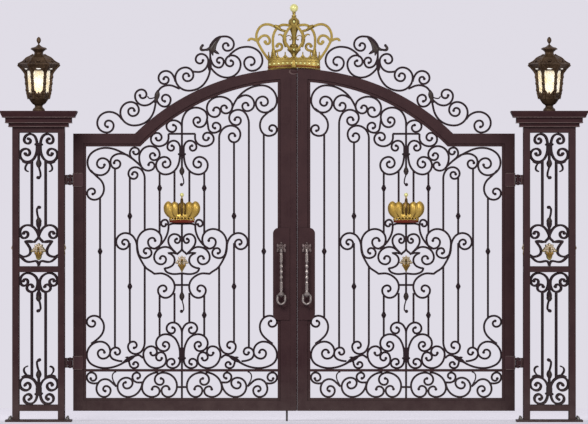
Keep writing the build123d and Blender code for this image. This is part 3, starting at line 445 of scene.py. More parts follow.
leaf_middle = (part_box("left_mid_rail")[0][0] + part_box("left_mid_rail")[1][0]) / 2
leaf_buds = [bud(leaf_middle, leaf_y, z, 0.070, 0.036) for z in (1.926, 0.962)]
both_sides(welded(*leaf_buds), "stem_buds", LEAVES, rubbed_iron)

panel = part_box("left_corner_posts")[1][1] - 0.025
post_buds = []
for z, tall in ((1.984, 0.062), (1.541, 0.056), (0.950, 0.054), (0.362, 0.062)):
    for quarter in range(4):
        a = quarter * math.pi / 2
        post_buds.append(bud(post_x + panel * math.cos(a), panel * math.sin(a), z, tall, 0.034))
both_sides(welded(*post_buds), "post_buds", POSTS, rubbed_iron)


# --- barbs ----------------------------------------------------------------------------
# A pointed barb is forged on to the tail of the scroll on each side of the heart, above the
# rosette, and closes it against the heart's foot.
small_low, small_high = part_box("left_small_crown")
small_x = (small_low[0] + small_high[0]) / 2
barbs = [husk([(small_x + s * x, leaf_y, z) for x, z in (
    (0.113, 1.2985), (0.078, 1.3015), (0.038, 1.287))],
    [0.0008, 0.0035, 0.0055, 0.0065, 0.0065, 0.004], 0.8) for s in (-1, 1)]
both_sides(welded(*barbs), "heart_barbs", LEAVES, dark_iron)


# --- rosettes -------------------------------------------------------------------------
# A cast flower stands on each leaf and on each face of the posts: a fan of petals over two
# spreading leaves, rubbed with pale gold, in a calyx of deeper gold.
pale_gold = painted("pale_gold", (0.62, 0.50, 0.36), (0.42, 0.33, 0.19), (0.80, 0.68, 0.60),
                    wear=0.9, gloss=0.36, metallic=0.3, hollows=1.0)
deep_gold = painted("deep_gold", (0.30, 0.175, 0.04), (0.16, 0.09, 0.02), (0.62, 0.46, 0.15),
                    wear=0.8, gloss=0.34, metallic=0.5, hollows=1.0)
olive_gold = painted("olive_gold", (0.30, 0.24, 0.075), (0.18, 0.14, 0.045), (0.55, 0.46, 0.20),
                     wear=0.8, gloss=0.36, metallic=0.4, hollows=0.9)
finish_nodes(["rosette", "rosettes"], olive_gold)


def ball(place, radius, flat=(1, 1, 1), turn=(0, 0, 0), rings=10):
    bpy.ops.mesh.primitive_uv_sphere_add(segments=2 * rings, ring_count=rings, radius=radius,
                                         location=place, rotation=turn)
    bpy.context.object.scale = flat
    bpy.ops.object.shade_smooth()
    return bpy.context.object


def petal(x, y, z, angle, reach, wide):
    """Petal from the middle of a flower outwards, at an angle from upright."""
    a = math.radians(angle)
    dx, dz = math.sin(a), math.cos(a)
    return husk([(x + 0.15 * reach * dx, y, z + 0.15 * reach * dz),
                 (x + 0.6 * reach * dx, y - 0.006, z + 0.6 * reach * dz),
                 (x + reach * dx, y - 0.001, z + reach * dz)],
                [0.3 * wide, 0.7 * wide, wide, 0.9 * wide, 0.35 * wide], 0.5, 5, 0.08, 12)


def flower(x, y, z):
    """Petals and side leaves on the street side of a plane at y."""
    parts = [petal(x, y - 0.011, z, angle, 0.038, 0.0095) for angle in range(-135, 136, 45)]
    parts += [petal(x, y - 0.018, z, angle, 0.024, 0.0065) for angle in range(-108, 109, 36)]
    for s in (-1, 1):
        parts.append(petal(x, y - 0.005, z - 0.004, s * 108, 0.053, 0.009))
        parts.append(petal(x, y - 0.009, z - 0.008, s * 142, 0.048, 0.010))
    return parts


def calyx(x, y, z):
    """Cup of folded sepals that the flower stands in."""
    cup = [0.003, 0.006, 0.010, 0.015, 0.021, 0.023, 0.015]
    parts = [husk([(x, y - 0.004, z - 0.092), (x, y - 0.008, z - 0.062), (x, y - 0.010, z - 0.034)],
                  cup, 0.45, 8, 0.10, 14),
             ball((x, y - 0.022, z + 0.003), 0.0078, (0.9, 0.8, 1.3), rings=8)]
    for s in (-1, 0, 1):
        parts.append(husk([(x + 0.009 * s, y - 0.012, z - 0.060),
                           (x + 0.018 * s, y - 0.020, z - 0.040),
                           (x + 0.026 * s, y - 0.014, z - 0.022)],
                          [0.003, 0.007, 0.008, 0.006, 0.002], rings=10))
    return parts


def repeated(parts, changes, inside_out=False):
    """Joins the parts and repeats them, once changed by each matrix."""
    first = welded(*parts)
    bpy.ops.object.transform_apply(location=True, rotation=True, scale=True)
    copies = [copied(first, change) for change in changes]
    if inside_out:
        for twin in copies:
            twin.data.flip_normals()
    return welded(first, *copies)


rose_low, rose_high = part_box("left_rosette")
rose_x, rose_y, rose_z = (rose_low[0] + rose_high[0]) / 2, rose_high[1], 1.238
cast_parts = ((flower, "petals", pale_gold), (calyx, "calyx", deep_gold))
to_yard_side = [Matrix.Translation((0, 2 * leaf_y, 0)) @ Matrix.Diagonal((1, -1, 1, 1))]
for shape, name, made in cast_parts:
    both_sides(repeated(shape(rose_x, rose_y, rose_z), to_yard_side, True), "rosette_" + name,
               LEAVES, made)

post_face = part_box("left_pillar_rosettes")[0][1] + 0.0236
post_rose = 1.332
about = Matrix.Translation((post_x, 0, 0))
to_other_faces = [about @ Matrix.Rotation(quarter * math.pi / 2, 4, "Z") @ about.inverted()
                  for quarter in (1, 2, 3)]
for shape, name, made in cast_parts:
    both_sides(repeated(shape(post_x, post_face, post_rose), to_other_faces),
               "post_rosette_" + name, POSTS, made)


# --- gold crowns ----------------------------------------------------------------------
# Bent bar and castings brushed with gold paint; the hollows are darker, partly from an antique
# glaze and partly from painted shade. The large crown stands on the left leaf and moves with it.
gold_paint = painted("gold_paint", (0.47, 0.345, 0.095), (0.26, 0.165, 0.035),
                     (0.86, 0.74, 0.33), wear=0.6, gloss=0.40, metallic=0.6, hollows=1.0,
                     lumps=0.6, edge=0.007)
finish_nodes(["crown"], gold_paint)
crown_wide, crown_deep = 0.201, 0.042
arch_middle, arch_reach = 0.965, 1.756


def on_oval(angle, wide, deep, x=gate_x):
    return x + wide * math.cos(angle), leaf_y + deep * math.sin(angle)


def on_crown(angle, inset_x, inset_y):
    """Place on the band's oval, a little inside its faces."""
    return on_oval(angle, crown_wide - inset_x, crown_deep - inset_y)


def over_arch(x):
    """Height of the crown's underside, which follows the arch of the leaves."""
    return arch_middle + math.sqrt(arch_reach ** 2 - (x - gate_x) ** 2)


def bent_rod(points, radius, sides=3, ring=False):
    """Round rod along a smooth line through the points, with closed ends or as a ring."""
    line = bpy.data.curves.new("rod", "CURVE")
    line.dimensions = "3D"
    line.bevel_depth = radius
    line.bevel_resolution = sides
    line.use_fill_caps = not ring
    run = line.splines.new("NURBS")
    run.points.add(len(points) - 1)
    for point, place in zip(run.points, points):
        point.co = (*place, 1)
    run.use_cyclic_u = ring
    run.use_endpoint_u = not ring
    run.order_u = 4 if ring else 3
    rod = bpy.data.objects.new("rod", line)
    bpy.context.collection.objects.link(rod)
    pick(rod)
    bpy.ops.object.convert(target="MESH")
    bpy.ops.object.shade_smooth()
    return bpy.context.object


def oval_rod(height, wide, deep, radius, x=gate_x):
    """Round rod bent to an oval, with its height at each x from a function."""
    around = [on_oval(math.pi * k / 16, wide, deep, x) for k in range(32)]
    return bent_rod([(*place, height(place[0])) for place in around], radius, ring=True)


def oval_wall(low, top, wide, deep, x=gate_x, steps=160):
    """Upright rim round an oval, its lower and upper edges given as functions of the angle."""
    bpy.ops.mesh.primitive_circle_add(vertices=steps, radius=1, location=(0, 0, 0))
    rim = bpy.context.object
    edit_all(lambda: bpy.ops.mesh.extrude_region_move(
        TRANSFORM_OT_translate={"value": (0, 0, 1)}))
    for corner in rim.data.vertices:
        angle = math.atan2(corner.co.y, corner.co.x)
        edge = top if corner.co.z > 0.5 else low
        corner.co = (*on_oval(angle, wide, deep, x), edge(angle))
    edit_all(lambda: bpy.ops.mesh.normals_make_consistent(inside=False))
    wall = rim.modifiers.new("wall", "SOLIDIFY")
    wall.thickness = 0.004
    wall.offset = 0
    bpy.ops.object.modifier_apply(modifier=wall.name)
    return smoothed(50)


def crest_edge(angle):
    """Top edge that sweeps up to eighteen pointed tips."""
    return 2.800 + 0.038 * (1 - abs(math.cos(9 * angle)) ** 0.6)


def crown_hoop(height, inset_x, inset_y, radius):
    return oval_rod(height, crown_wide - inset_x, crown_deep - inset_y, radius)


glaze = painted("orange_glaze", (0.23, 0.075, 0.012), (0.12, 0.035, 0.008),
                (0.62, 0.40, 0.10), wear=0.9, gloss=0.22)
settle(crown_hoop(lambda x: over_arch(x) + 0.015, 0.004, 0.004, 0.0085), "crown_glaze_row",
       "left_leaf", glaze)

trim = [crown_hoop(lambda x: over_arch(x) + 0.0045, 0.002, 0.001, 0.0045),
        crown_hoop(lambda x: 2.771, 0.003, 0.003, 0.0045),
        crown_hoop(lambda x: 2.790, 0.002, 0.002, 0.0050),
        oval_wall(lambda angle: 2.786, crest_edge, crown_wide - 0.003, crown_deep - 0.003)]
for k in range(18):
    x, y = on_crown(math.pi * (2 * k + 1) / 18, 0.003, 0.003)
    trim.append(husk([(x, y, 2.796), (x, y, 2.820), (x, y, 2.845)],
                     [0.005, 0.0095, 0.0085, 0.0055, 0.0035, 0.0045, 0.003], 0.8, 4, rings=10))
drop = [0.011, 0.014, 0.0155, 0.019, 0.023, 0.030, 0.038, 0.0425, 0.040, 0.029, 0.015]
trim.append(husk([(gate_x, leaf_y, z) for z in (2.915, 3.015, 3.112)], drop, 1.0, 6, 0.06, 28))
for k in range(8):
    angle = math.pi * k / 4
    trim.append(ball((*on_oval(angle, 0.036, 0.036), 2.861), 0.0165, (1, 1, 0.9), rings=7))
    place = on_oval(angle + 0.4, 0.024, 0.024)
    trim.append(ball((*place, 2.888), 0.0125, (0.9, 0.9, 1.3), rings=6))
    trim.append(ball((*place, 2.842), 0.0105, (0.9, 0.9, 1.2), rings=6))
for z, size in ((3.121, 0.020), (3.143, 0.0155)):
    trim.append(ball((gate_x, leaf_y, z), size, (1, 1, 0.45), rings=8))
for s in (-1, 1):
    y = leaf_y + s * (crown_deep + 0.002)
    trim.append(husk([(gate_x, y, over_arch(gate_x) + 0.002), (gate_x, y, 2.775),
                      (gate_x, leaf_y + s * 0.016, 2.848)],
                     [0.017, 0.019, 0.015, 0.013, 0.012, 0.011], 0.45, 3, 0.14, 16))
settle(welded(*trim), "crown_trim", "left_leaf", gold_paint)

# A row of pearls is set round the band and a gold ball on top, painted pale yellow as a painted
# highlight; pale stones in dark settings mark the drop and the flower, and rounded leaves cover
# the crossings of the arms.
dark_setting = painted("dark_setting", (0.055, 0.030, 0.008), (0.03, 0.016, 0.006),
                       (0.20, 0.13, 0.04), wear=0.6, gloss=0.35, metallic=0.3)
# Painted highlight on the balls on top of the crowns; on the pearls and stones it is their own
# colour.
pearls_and_highlight = painted("pearl_and_highlight_gold", (0.97, 0.95, 0.42), (0.88, 0.82, 0.30), (0.99, 0.97, 0.72),
                wear=0.5, gloss=0.18, metallic=0.3, hollows=0.0)
row_pearls, pearl_pitch = 12, 0.034
stones = [ball((gate_x, leaf_y, 3.1808), 0.0322, rings=32)]
settings = []
for s in (-1, 1):
    for k in range(row_pearls):
        angle = s * math.acos((k - (row_pearls - 1) / 2) * pearl_pitch / crown_wide)
        x, y = on_crown(angle, 0.002, 0.001)
        stones.append(ball((x, y, over_arch(x) + 0.037), 0.0078, (1.35, 0.9, 0.85), rings=7))
    for forward, z, size in ((0.041, 3.076, 0.0105), (0.054, 2.861, 0.0085)):
        y = leaf_y + s * forward
        stones.append(ball((gate_x, y, z), size, (0.8, 0.6, 1.1), rings=8))
        settings.append(ball((gate_x, y - s * 0.0025, z), 1.55 * size, (0.85, 0.4, 1.1),
                             rings=8))
settle(welded(*stones), "crown_stones", "left_leaf", pearls_and_highlight)
settle(welded(*settings), "crown_settings", "left_leaf", dark_setting)
arm_curl = ((0.060, 2.962), (0.045, 2.972), (0.024, 2.966), (0.018, 2.946), (0.024, 2.934),
            (0.032, 2.936))
arm_husks = (
    (((0.150, 0.030, 3.050), (0.128, 0.030, 3.036), (0.098, 0.030, 3.012)),
     [0.005, 0.011, 0.015, 0.012, 0.006], 0.7, 4),
    (((0.062, 0.030, 2.880), (0.082, 0.030, 2.945), (0.062, 0.030, 3.010)),
     [0.008, 0.013, 0.016, 0.014, 0.010, 0.006], 0.6, 5),
    (((0.078, 0.030, 2.955), (0.102, 0.030, 2.990), (0.122, 0.030, 2.972)),
     [0.009, 0.008, 0.006, 0.005, 0.004], 0.8, 3),
    (((0.148, 0.020, 2.800), (0.158, 0.020, 2.835), (0.160, 0.018, 2.880)),
     [0.006, 0.014, 0.015, 0.012, 0.007], 0.7, 4))
arm_leaves = []
for s in (-1, 1):
    arm_leaves.append(bent_rod([(gate_x + s * x, leaf_y, z) for x, z in arm_curl], 0.0036))
    arm_leaves.append(ball((gate_x + s * 0.031, leaf_y, 2.938), 0.0065, rings=6))
    for side in (-1, 1):
        for spine, *shape in arm_husks:
            arm_leaves.append(husk([(gate_x + s * x, leaf_y + side * y, z) for x, y, z in spine],
                                   *shape))
settle(welded(*arm_leaves), "crown_leaves", "left_leaf", gold_paint)


# Gilded rods on the arches close the line under the crown on both leaves, and a pressed
# steel boss hides the weld of the saddle.
def rim_rod(x0, x1):
    spots = [gate_x + (x0 + (x1 - x0) * k / 8) for k in range(9)]
    return [bent_rod([(x, leaf_y + s * 0.021, over_arch(x) - 0.0032) for x in spots], 0.0026)
            for s in (-1, 1)]


settle(welded(*rim_rod(-0.205, -0.172)), "left_rim_rods", "left_leaf", gold_paint)
settle(welded(*rim_rod(0.0285, 0.205)), "right_rim_rods", "right_leaf", gold_paint)
# Painted highlight: the pale back of the boss shows as a lit rim round its brown face.
boss_x, boss_y, boss_z = gate_x - 0.006, strip_low[1], 2.690
settle(ball((boss_x, boss_y + 0.001, boss_z), 0.035, (1, 0.22, 0.64), rings=14),
       "crown_boss", "left_leaf", painted_highlight_brown)
settle(ball((boss_x + 0.005, boss_y - 0.003, boss_z + 0.004), 0.029, (1, 0.22, 0.60), rings=12),
       "boss_face", "left_leaf", brown_paint)


# --- small crowns ---------------------------------------------------------------------
# One cast crown in the middle of each leaf: five puffed lobes over a red enamelled band,
# with a row of points where they meet and a stem with a ball on top.
red_enamel = painted("red_enamel", (0.16, 0.022, 0.012), (0.10, 0.018, 0.010),
                     (0.40, 0.24, 0.06), wear=0.8, gloss=0.25)
bright_gold = painted("bright_gold", (0.68, 0.465, 0.115), (0.42, 0.25, 0.045),
                      (0.94, 0.80, 0.36), wear=0.6, gloss=0.38, metallic=0.6, hollows=1.0,
                      lumps=0.6, edge=0.007)
bronze_glaze_and_shade = painted("bronze_glaze_and_shade", (0.150, 0.080, 0.022), (0.09, 0.05, 0.015),
                       (0.50, 0.36, 0.14), wear=0.7, gloss=0.28, metallic=0.5, hollows=0.8)
band_foot = small_low[2]
band_wide, band_deep = 0.0945, 0.0305


def band_top(angle, rise=0.0):
    """Upper edge of the enamel, which stands a little higher in the middle of each side."""
    return band_foot + 0.016 + rise + 0.008 * math.sin(angle) ** 2


def band_rod(rise, radius):
    def height(x):
        return band_top(math.acos(max(-1, min(1, (x - small_x) / band_wide))), rise)
    return oval_rod(height, band_wide, band_deep, radius, small_x)


def on_band(x, y, z):
    """Place measured from the middle of the band's foot."""
    return small_x + x, leaf_y + y, band_foot + z


def lobe(foot, belly, tip, half):
    """Puffed lobe from the band up, bowed outwards, with a round top."""
    swell = (0.42, 0.56, 0.68, 0.79, 0.88, 0.95, 0.99, 1, 1, 0.99, 0.96, 0.90, 0.81, 0.66, 0.38)
    return husk([on_band(foot, 0, 0.034), on_band(belly, 0, 0.102), on_band(tip, 0, 0.158)],
                [part * half for part in swell], 0.92, rings=42)


def crease(foot, belly, tip, side):
    """Thin dark line of painted shade in the gap where two lobes meet."""
    return husk([on_band(foot, side * 0.017, 0.044), on_band(belly, side * 0.029, 0.100),
                 on_band(tip, side * 0.012, 0.152)],
                [0.0022, 0.0030, 0.0030, 0.0030, 0.0026], 1.0)


enamel = oval_wall(lambda angle: band_foot, band_top, band_wide + 0.0005, band_deep + 0.0005,
                   small_x, 64)
both_sides(enamel, "small_crown_enamel", LEAVES, red_enamel)
lobes = [lobe(0, 0, 0, 0.0290),
         husk([on_band(0, 0, 0.140), on_band(0, 0, 0.170),
               (small_x, leaf_y, small_high[2] - 0.026)], [0.013, 0.011, 0.008, 0.0055, 0.005],
              1.0),
         ball(on_band(0, 0, 0.046), 0.078, (1, 0.35, 0.42))]
for s in (-1, 1):
    lobes.append(lobe(s * 0.033, s * 0.071, s * 0.045, 0.0325))
    lobes.append(lobe(s * 0.062, s * 0.130, s * 0.089, 0.0340))
pieces = both_sides(welded(*lobes), "small_crown_lobes", LEAVES, bright_gold)
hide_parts("left_small_crown")
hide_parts("right_small_crown")
small_trim = [band_rod(0.0, 0.0032), band_rod(0.019, 0.0030)]
for k in range(22):
    angle = math.pi * k / 11
    x, y = on_oval(angle, band_wide, band_deep, small_x)
    small_trim.append(ball((x, y, band_top(angle, 0.010)), 0.0075, (0.75, 0.75, 1.3), rings=6))
both_sides(welded(*small_trim), "small_crown_trim", LEAVES, bright_gold)
# Painted shade fills the gaps between the lobes; the stem up each face is in bronze glaze.
seams = []
for side in (-1, 1):
    for s in (-1, 1):
        seams.append(crease(s * 0.018, s * 0.036, s * 0.022, side))
        seams.append(crease(s * 0.052, s * 0.100, s * 0.064, side))
    seams.append(husk([on_band(0, side * 0.018, 0.040), (small_x, leaf_y + side * 0.060, 1.640),
                       (small_x, leaf_y + side * 0.006, 1.716)],
                      [0.004, 0.007, 0.010, 0.011, 0.009, 0.012, 0.009], 0.5, 5))
both_sides(welded(*seams), "small_crown_seams", LEAVES, bronze_glaze_and_shade)
# Its pale yellow is a painted highlight for the shine of polished gold.
ball_top = ball((small_x, leaf_y, small_high[2] - 0.015), 0.0158, rings=12)
both_sides(ball_top, "small_crown_ball", LEAVES, pearls_and_highlight)


# --- pull handles ---------------------------------------------------------------------
# A forged square bar, twisted in the middle, stands off its plate between a lobed rose above
# and a stirrup below; brown pewter, bright where hands have rubbed it.
worn_pewter = painted("worn_pewter", (0.42, 0.365, 0.34), (0.24, 0.20, 0.185),
                      (0.60, 0.54, 0.50), wear=0.9, gloss=0.30, metallic=0.65, hollows=1.0)
dull_pewter = painted("dull_pewter", (0.235, 0.175, 0.17), (0.15, 0.11, 0.105),
                      (0.50, 0.42, 0.40), wear=0.8, gloss=0.42, metallic=0.35, hollows=1.0)
pull_low, pull_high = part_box("left_pull_handle")
pull_x = (pull_low[0] + pull_high[0]) / 2
pull_y = pull_low[1] + 0.0236
plate_y = pull_high[1]
rose_at, cup_at = pull_high[2] - 0.047, pull_low[2] + 0.044


def twisted_bar(x, y, z0, z1, half, turns, steps=72):
    """Square bar from z0 to z1, swelled at both ends and twisted between."""
    tall = z1 - z0
    bpy.ops.mesh.primitive_cube_add(size=1, location=(x, y, (z0 + z1) / 2))
    made = bpy.context.object
    made.scale = (2 * half, 2 * half, tall)
    bpy.ops.object.transform_apply(location=False, rotation=False, scale=True)
    edit_all(*[lambda z=z0 + tall * k / steps: bpy.ops.mesh.bisect(
        plane_co=(x, y, z), plane_no=(0, 0, 1)) for k in range(1, steps)])
    for corner in made.data.vertices:
        along = (corner.co.z + tall / 2) / tall
        share = min(1, max(0, (along - 0.21) / 0.58))
        corner.co = Matrix.Rotation(turns * 2 * math.pi * share, 4, "Z") @ corner.co
        swell = 0.50 + 0.56 * abs(math.cos(4 * math.pi * share)) if 0 < share < 1 else 1.0
        swell *= 1 - 0.3 * (abs(2 * along - 1) > 0.96)
        corner.co.x *= swell
        corner.co.y *= swell
    round_edge = made.modifiers.new("round_edge", "BEVEL")
    round_edge.width = 0.0030
    round_edge.segments = 2
    round_edge.limit_method = "ANGLE"
    round_edge.angle_limit = math.radians(40)
    bpy.ops.object.modifier_apply(modifier=round_edge.name)
    return smoothed(60)


def lathe(place, outline):
    """Turned shape about a vertical line, from (radius, height) points."""
    mesh = bpy.data.meshes.new("turned")
    rim = bpy.data.objects.new("turned", mesh)
    bpy.context.collection.objects.link(rim)
    points = [(place[0] + r, place[1], place[2] + z) for r, z in outline]
    mesh.from_pydata(points, [(k, k + 1) for k in range(len(points) - 1)], [])
    pick(rim)
    edit_all(lambda: bpy.ops.mesh.spin(steps=32, angle=2 * math.pi, center=place, axis=(0, 0, 1)),
             lambda: bpy.ops.mesh.remove_doubles(threshold=0.00005),
             lambda: bpy.ops.mesh.normals_make_consistent(inside=False))
    return smoothed(40)


def rose_boss(x, y, z):
    """Two long lobes each side of a sunk middle, with beads above, its back on the plate."""
    parts = [ball((x, y - 0.003, z), 0.030, (1, 0.16, 1.05), rings=10)]
    for s in (-1, 1):
        for dz in (-0.016, 0.016):
            parts.append(ball((x + s * 0.0262, y - 0.007, z + dz), 0.0125, (0.85, 0.7, 1.45),
                              turn=(0, s * dz * 12, 0), rings=8))
    for dz, size in ((0.040, 0.0075), (0.020, 0.0095), (-0.010, 0.0085)):
        parts.append(ball((x, y - 0.008, z + dz), size, (1.1, 0.8, 0.9), rings=8))
    return parts


def pull_rod(radius, *places, s=0):
    """Rod through (across, y, z) places, its side s to the left or right of the bar."""
    return bent_rod([(pull_x + s * across, y, z) for across, y, z in places], radius)


both_sides(welded(*rose_boss(pull_x, plate_y, rose_at)), "handle_rose", LEAVES, dull_pewter)
pull = [twisted_bar(pull_x, pull_y, cup_at + 0.062, rose_at - 0.036, 0.0105, 1.0),
        pull_rod(0.0085, (0, plate_y - 0.004, rose_at - 0.006),
                 (0, plate_y - 0.040, rose_at - 0.006), (0, pull_y, rose_at - 0.010),
                 (0, pull_y, rose_at - 0.040)),
        ball((pull_x, pull_y, rose_at - 0.030), 0.0115, (1, 1, 0.85), rings=8),
        lathe((pull_x, pull_y, cup_at + 0.044),
              [(0.0, 0.026), (0.009, 0.024), (0.0115, 0.014), (0.020, 0.003), (0.0280, -0.008),
               (0.0250, -0.013), (0.014, -0.018), (0.006, -0.026), (0.0, -0.027)])]
stirrup = ((0.027, 0.032), (0.031, 0.012), (0.031, -0.012), (0.018, -0.031), (0, -0.038))
for s in (-1, 1):
    pull.append(pull_rod(0.0088, *((x, pull_y, cup_at + z) for x, z in stirrup), s=s))
    pull.append(ball((pull_x + s * 0.0275, pull_y, cup_at + 0.030), 0.0082, rings=8))
    pull.append(ball((pull_x + s * 0.029, pull_y, cup_at - 0.001), 0.0110, (0.85, 0.9, 2.2),
                     rings=8))
pull += [ball((pull_x, pull_y, cup_at - 0.035), 0.0085, (1.9, 0.9, 0.8), rings=8),
         pull_rod(0.0065, (0, pull_y, cup_at + 0.046), (0, plate_y - 0.030, cup_at + 0.046),
                  (0, plate_y - 0.002, cup_at + 0.044)),
         pull_rod(0.0070, (0, pull_y, cup_at - 0.035), (0, pull_y + 0.022, cup_at - 0.034),
                  (0, plate_y - 0.001, cup_at - 0.034))]
pieces = both_sides(welded(*pull), "twisted_handle", LEAVES, worn_pewter)
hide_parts("left_pull_handle")
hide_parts("right_pull_handle")


# --- lanterns -------------------------------------------------------------------------
# Six sided lanterns of cast aluminium in dark bronze, rubbed bright on the ornament, with
# hammered amber glass puttied in and an opal bulb inside; the glass, the bulb and the slots
# over the panes glow with painted light.
aged_bronze = painted("aged_bronze", (0.052, 0.029, 0.016), (0.128, 0.080, 0.045),
                      (0.46, 0.35, 0.23), wear=1.0, gloss=0.42, metallic=0.4, bump=0.0030,
                      hollows=1.0, lumps=2.5)
finish_nodes(["lantern_foot", "lantern_body", "lantern_roof"], aged_bronze)


def make_hammered_glass():
    """Glass of uneven amber with hammer dimples, glowing faintly with painted light."""
    made, tree, shader = new_material("hammered_glass")
    place = add_node(tree, "TexCoord").outputs["Object"]
    cells = add_node(tree, "TexVoronoi", Vector=place, Scale=85.0)
    dimple = add_node(tree, "Bump", Strength=0.5, Distance=0.002, Height=cells.outputs["Distance"])
    cloud = ranged(tree, noise(tree, place, 14.0, 3.0), From_Min=0.35, From_Max=0.68)
    # Painted light: the emission makes the glass glow though it is no lamp.
    feed(tree, shader, Roughness=0.22, Transmission_Weight=0.65, IOR=1.12,
         Emission_Strength=0.17, Normal=dimple.outputs["Normal"],
         Base_Color=blended(tree, cloud, (0.98, 0.96, 0.90), (0.90, 0.80, 0.58)),
         Emission_Color=blended(tree, cloud, (1.0, 0.97, 0.90), (0.92, 0.80, 0.56)))
    return made


def make_glowing_opal():
    """Milk glass that glows with painted light."""
    made, tree, shader = new_material("glowing_opal")
    cloud = noise(tree, add_node(tree, "TexCoord").outputs["Object"], 20.0)
    milk = (1.0, 0.98, 0.93), (0.95, 0.90, 0.80)
    feed(tree, shader, Roughness=0.4, Emission_Strength=0.46,
         Base_Color=blended(tree, cloud, *milk), Emission_Color=blended(tree, cloud, *milk))
    return made


finish_nodes(["lantern_glass"], make_hammered_glass())

# Side profile of the casting: how far its corners stand from the middle at each height.
cap_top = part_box("left_lantern_foot")[0][2]
lantern_sides = ((0.076, 0.094), (0.084, 0.122), (0.0965, 0.260), (0.101, 0.290), (0.117, 0.312),
                 (0.136, 0.336), (0.160, 0.357))
lantern_roof = ((0.159, 0.362), (0.123, 0.379), (0.107, 0.397), (0.091, 0.411), (0.060, 0.4235),
                (0.043, 0.436))
# Leaves on each face, as (across, out, up) places, half widths, depth and flutes.
eave_leaf = (((0.018, 0.105, 0.324), (0.034, 0.116, 0.334), (0.048, 0.124, 0.346)),
             [0.004, 0.010, 0.012, 0.009, 0.003], 0.5, 4)
foot_leaf = (((0.010, 0.070, 0.112), (0.026, 0.073, 0.132), (0.030, 0.078, 0.158)),
             [0.004, 0.009, 0.010, 0.007, 0.003], 0.5, 4)
roof_leaf = (((0.012, 0.120, 0.372), (0.034, 0.104, 0.380), (0.048, 0.092, 0.392)),
             [0.005, 0.011, 0.013, 0.010, 0.004], 0.7, 3)
top_leaf = (((0.006, 0.098, 0.390), (0.016, 0.084, 0.402), (0.024, 0.066, 0.414)),
            [0.004, 0.008, 0.009, 0.007, 0.003], 0.7, 3)
middle_leaf = (((0, 0.070, 0.104), (0, 0.074, 0.128), (0, 0.077, 0.148)),
               [0.006, 0.012, 0.012, 0.008, 0.003], 0.5, 5)
scallop = ((-0.034, 0), (-0.024, 0.8), (0, 1.05), (0.024, 0.8), (0.034, 0))


def at_corner(k, reach, height):
    """Place on the k-th corner line of a lantern."""
    a = math.radians(60 * k)
    return post_x + reach * math.cos(a), reach * math.sin(a), cap_top + height


def face_husk(leaf, s=1):
    spine, *shape = leaf
    return husk([(s * x, y, z) for x, y, z in spine], *shape, rings=8)


def on_face(angle):
    """Turns what is made facing along y to a face of the lantern."""
    return (Matrix.Translation((post_x, 0, cap_top))
            @ Matrix.Rotation(math.radians(angle - 90), 4, "Z"))


castings = []
for k in range(6):
    castings.append(bent_rod([at_corner(k, *spot) for spot in lantern_sides], 0.0112, 2))
    castings.append(bent_rod([at_corner(k, *spot) for spot in lantern_roof], 0.0062, 2))
    for reach, height, radius in ((0.159, 0.360, 0.0045), (0.083, 0.120, 0.0040)):
        castings.append(bent_rod([at_corner(n, reach, height) for n in (k, k + 1)], radius, 2))
    for step in range(7):
        share = step / 6
        place = at_corner(k, 0.0870 + 0.0150 * share, 0.138 + 0.150 * share)
        castings.append(ball(place, 0.0160 if step % 2 else 0.0130, (0.9, 0.9, 1.25), rings=5))
    face = []
    for s in (-1, 1):
        face.append(bent_rod([(s * 0.043, 0.084, 0.292), (s * 0.041, 0.085, 0.309),
                              (s * 0.018, 0.088, 0.318), (0, 0.088, 0.318)], 0.0042, 2))
        face += [face_husk(leaf, s) for leaf in (eave_leaf, foot_leaf, roof_leaf, top_leaf)]
    face.append(face_husk(middle_leaf))
    face.append(bent_rod([(x, 0.104 + 0.012 * rise, 0.317 + 0.020 * rise) for x, rise in scallop],
                         0.0034, 2))
    face.append(ball((0, 0.103, 0.384), 0.012, (1.6, 0.8, 0.7), rings=7))
    for piece in face:
        piece.matrix_basis = on_face(60 * k + 30) @ piece.matrix_basis
    castings += face
for k in range(12):
    castings.append(ball(at_corner(k / 2, 0.050, 0.072), 0.011, (0.8, 0.8, 1.3), rings=5))
both_sides(welded(*castings), "lantern_castings", POSTS, aged_bronze)

opal = make_glowing_opal()
# Painted light: a glowing opal oval over each pane stands for the pale light seen there.
slots = []
for k in range(6):
    slot = ball((0, 0.1085, 0.3255), 0.024, (1, 0.25, 0.24), rings=8)
    slot.matrix_basis = on_face(60 * k + 30) @ slot.matrix_basis
    slots.append(slot)
both_sides(welded(*slots), "glowing_lantern_slots", POSTS, opal)
lamp = lathe((post_x, 0, cap_top), [(0.0, 0.101), (0.030, 0.101), (0.034, 0.112), (0.046, 0.150),
                                    (0.050, 0.220), (0.044, 0.270), (0.022, 0.300), (0.0, 0.305)])
both_sides(lamp, "glowing_opal", POSTS, opal)


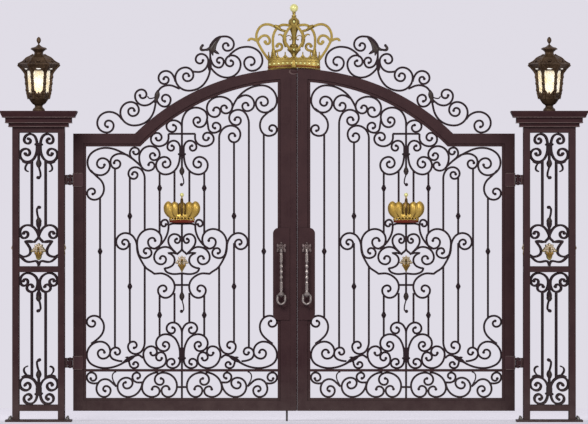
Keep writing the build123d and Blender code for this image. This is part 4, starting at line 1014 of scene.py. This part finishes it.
# --- floor, light and camera ----------------------------------------------------------
# A pale floor under a lavender-white sky, dimmer in reflections on the street side, two broad
# lamps at the left and the right, and a long lens square on to the street side.
pale = (0.745, 0.72, 0.79)
gate_y = 0.175
bpy.ops.mesh.primitive_circle_add(vertices=96, radius=7.0, fill_type="NGON",
                                  location=(gate_x, gate_y, 0.0))
floor = bpy.context.object
floor.name = "floor"
floor_finish, tree, shader = new_material("pale_floor")
spot = add_node(tree, "TexCoord").outputs["Object"]
inward = add_node(tree, "SeparateXYZ", Vector=spot).outputs["Y"]
lift = ranged(tree, inward, From_Min=-1.5, From_Max=1.0, To_Min=0.26, To_Max=0.62)
seen = add_node(tree, "LightPath").outputs["Is Camera Ray"]
feed(tree, shader, Base_Color=(0.60, 0.58, 0.635, 1), Roughness=0.9, Emission_Color=(*pale, 1),
     Emission_Strength=worked_out(tree, "MULTIPLY", seen, lift))
floor.data.materials.append(floor_finish)

sky = bpy.data.worlds.new("sky")
bpy.context.scene.world = sky
sky.use_nodes = True
tree = sky.node_tree
ray = add_node(tree, "LightPath").outputs
open_view = worked_out(tree, "MAXIMUM", ray["Is Camera Ray"], ray["Is Transmission Ray"])
way = add_node(tree, "TexCoord").outputs["Generated"]
backdrop = ranged(tree, add_node(tree, "SeparateXYZ", Vector=way).outputs["Y"],
                  From_Min=-0.5, From_Max=0.4, To_Min=0.30)
mirrored = add_node(tree, "Mix", Factor=ray["Is Glossy Ray"], A=0.42, B=backdrop)
strength = worked_out(tree, "MAXIMUM", open_view, mirrored.outputs["Result"])
feed(tree, tree.nodes["Background"], Color=(*pale, 1), Strength=strength)

for name, place, energy in (("left_lamp", (-3.4, -10.0, 7.5), 720.0),
                            ("right_lamp", (5.5, -10.0, 4.5), 340.0)):
    bpy.ops.object.light_add(type="AREA", location=(gate_x + place[0], place[1], place[2]))
    lamp = bpy.context.object
    lamp.name = name
    lamp.data.size = 4.0
    lamp.data.energy = energy
    aim = Vector((gate_x, gate_y, 1.5)) - lamp.location
    lamp.rotation_euler = aim.to_track_quat("-Z", "Y").to_euler()

view_wide, view_height = 4.5276, 1.611
lens, sensor = 800.0, 36.0
bpy.ops.object.camera_add(location=(gate_x, gate_y - view_wide * lens / sensor, view_height))
camera = bpy.context.object
camera.name = "street_camera"
camera.data.lens = lens
camera.data.sensor_width = sensor
camera.data.clip_end = 400.0
camera.rotation_euler = (math.radians(90), 0, 0)
bpy.context.scene.camera = camera
bpy.context.scene.view_settings.view_transform = "Standard"
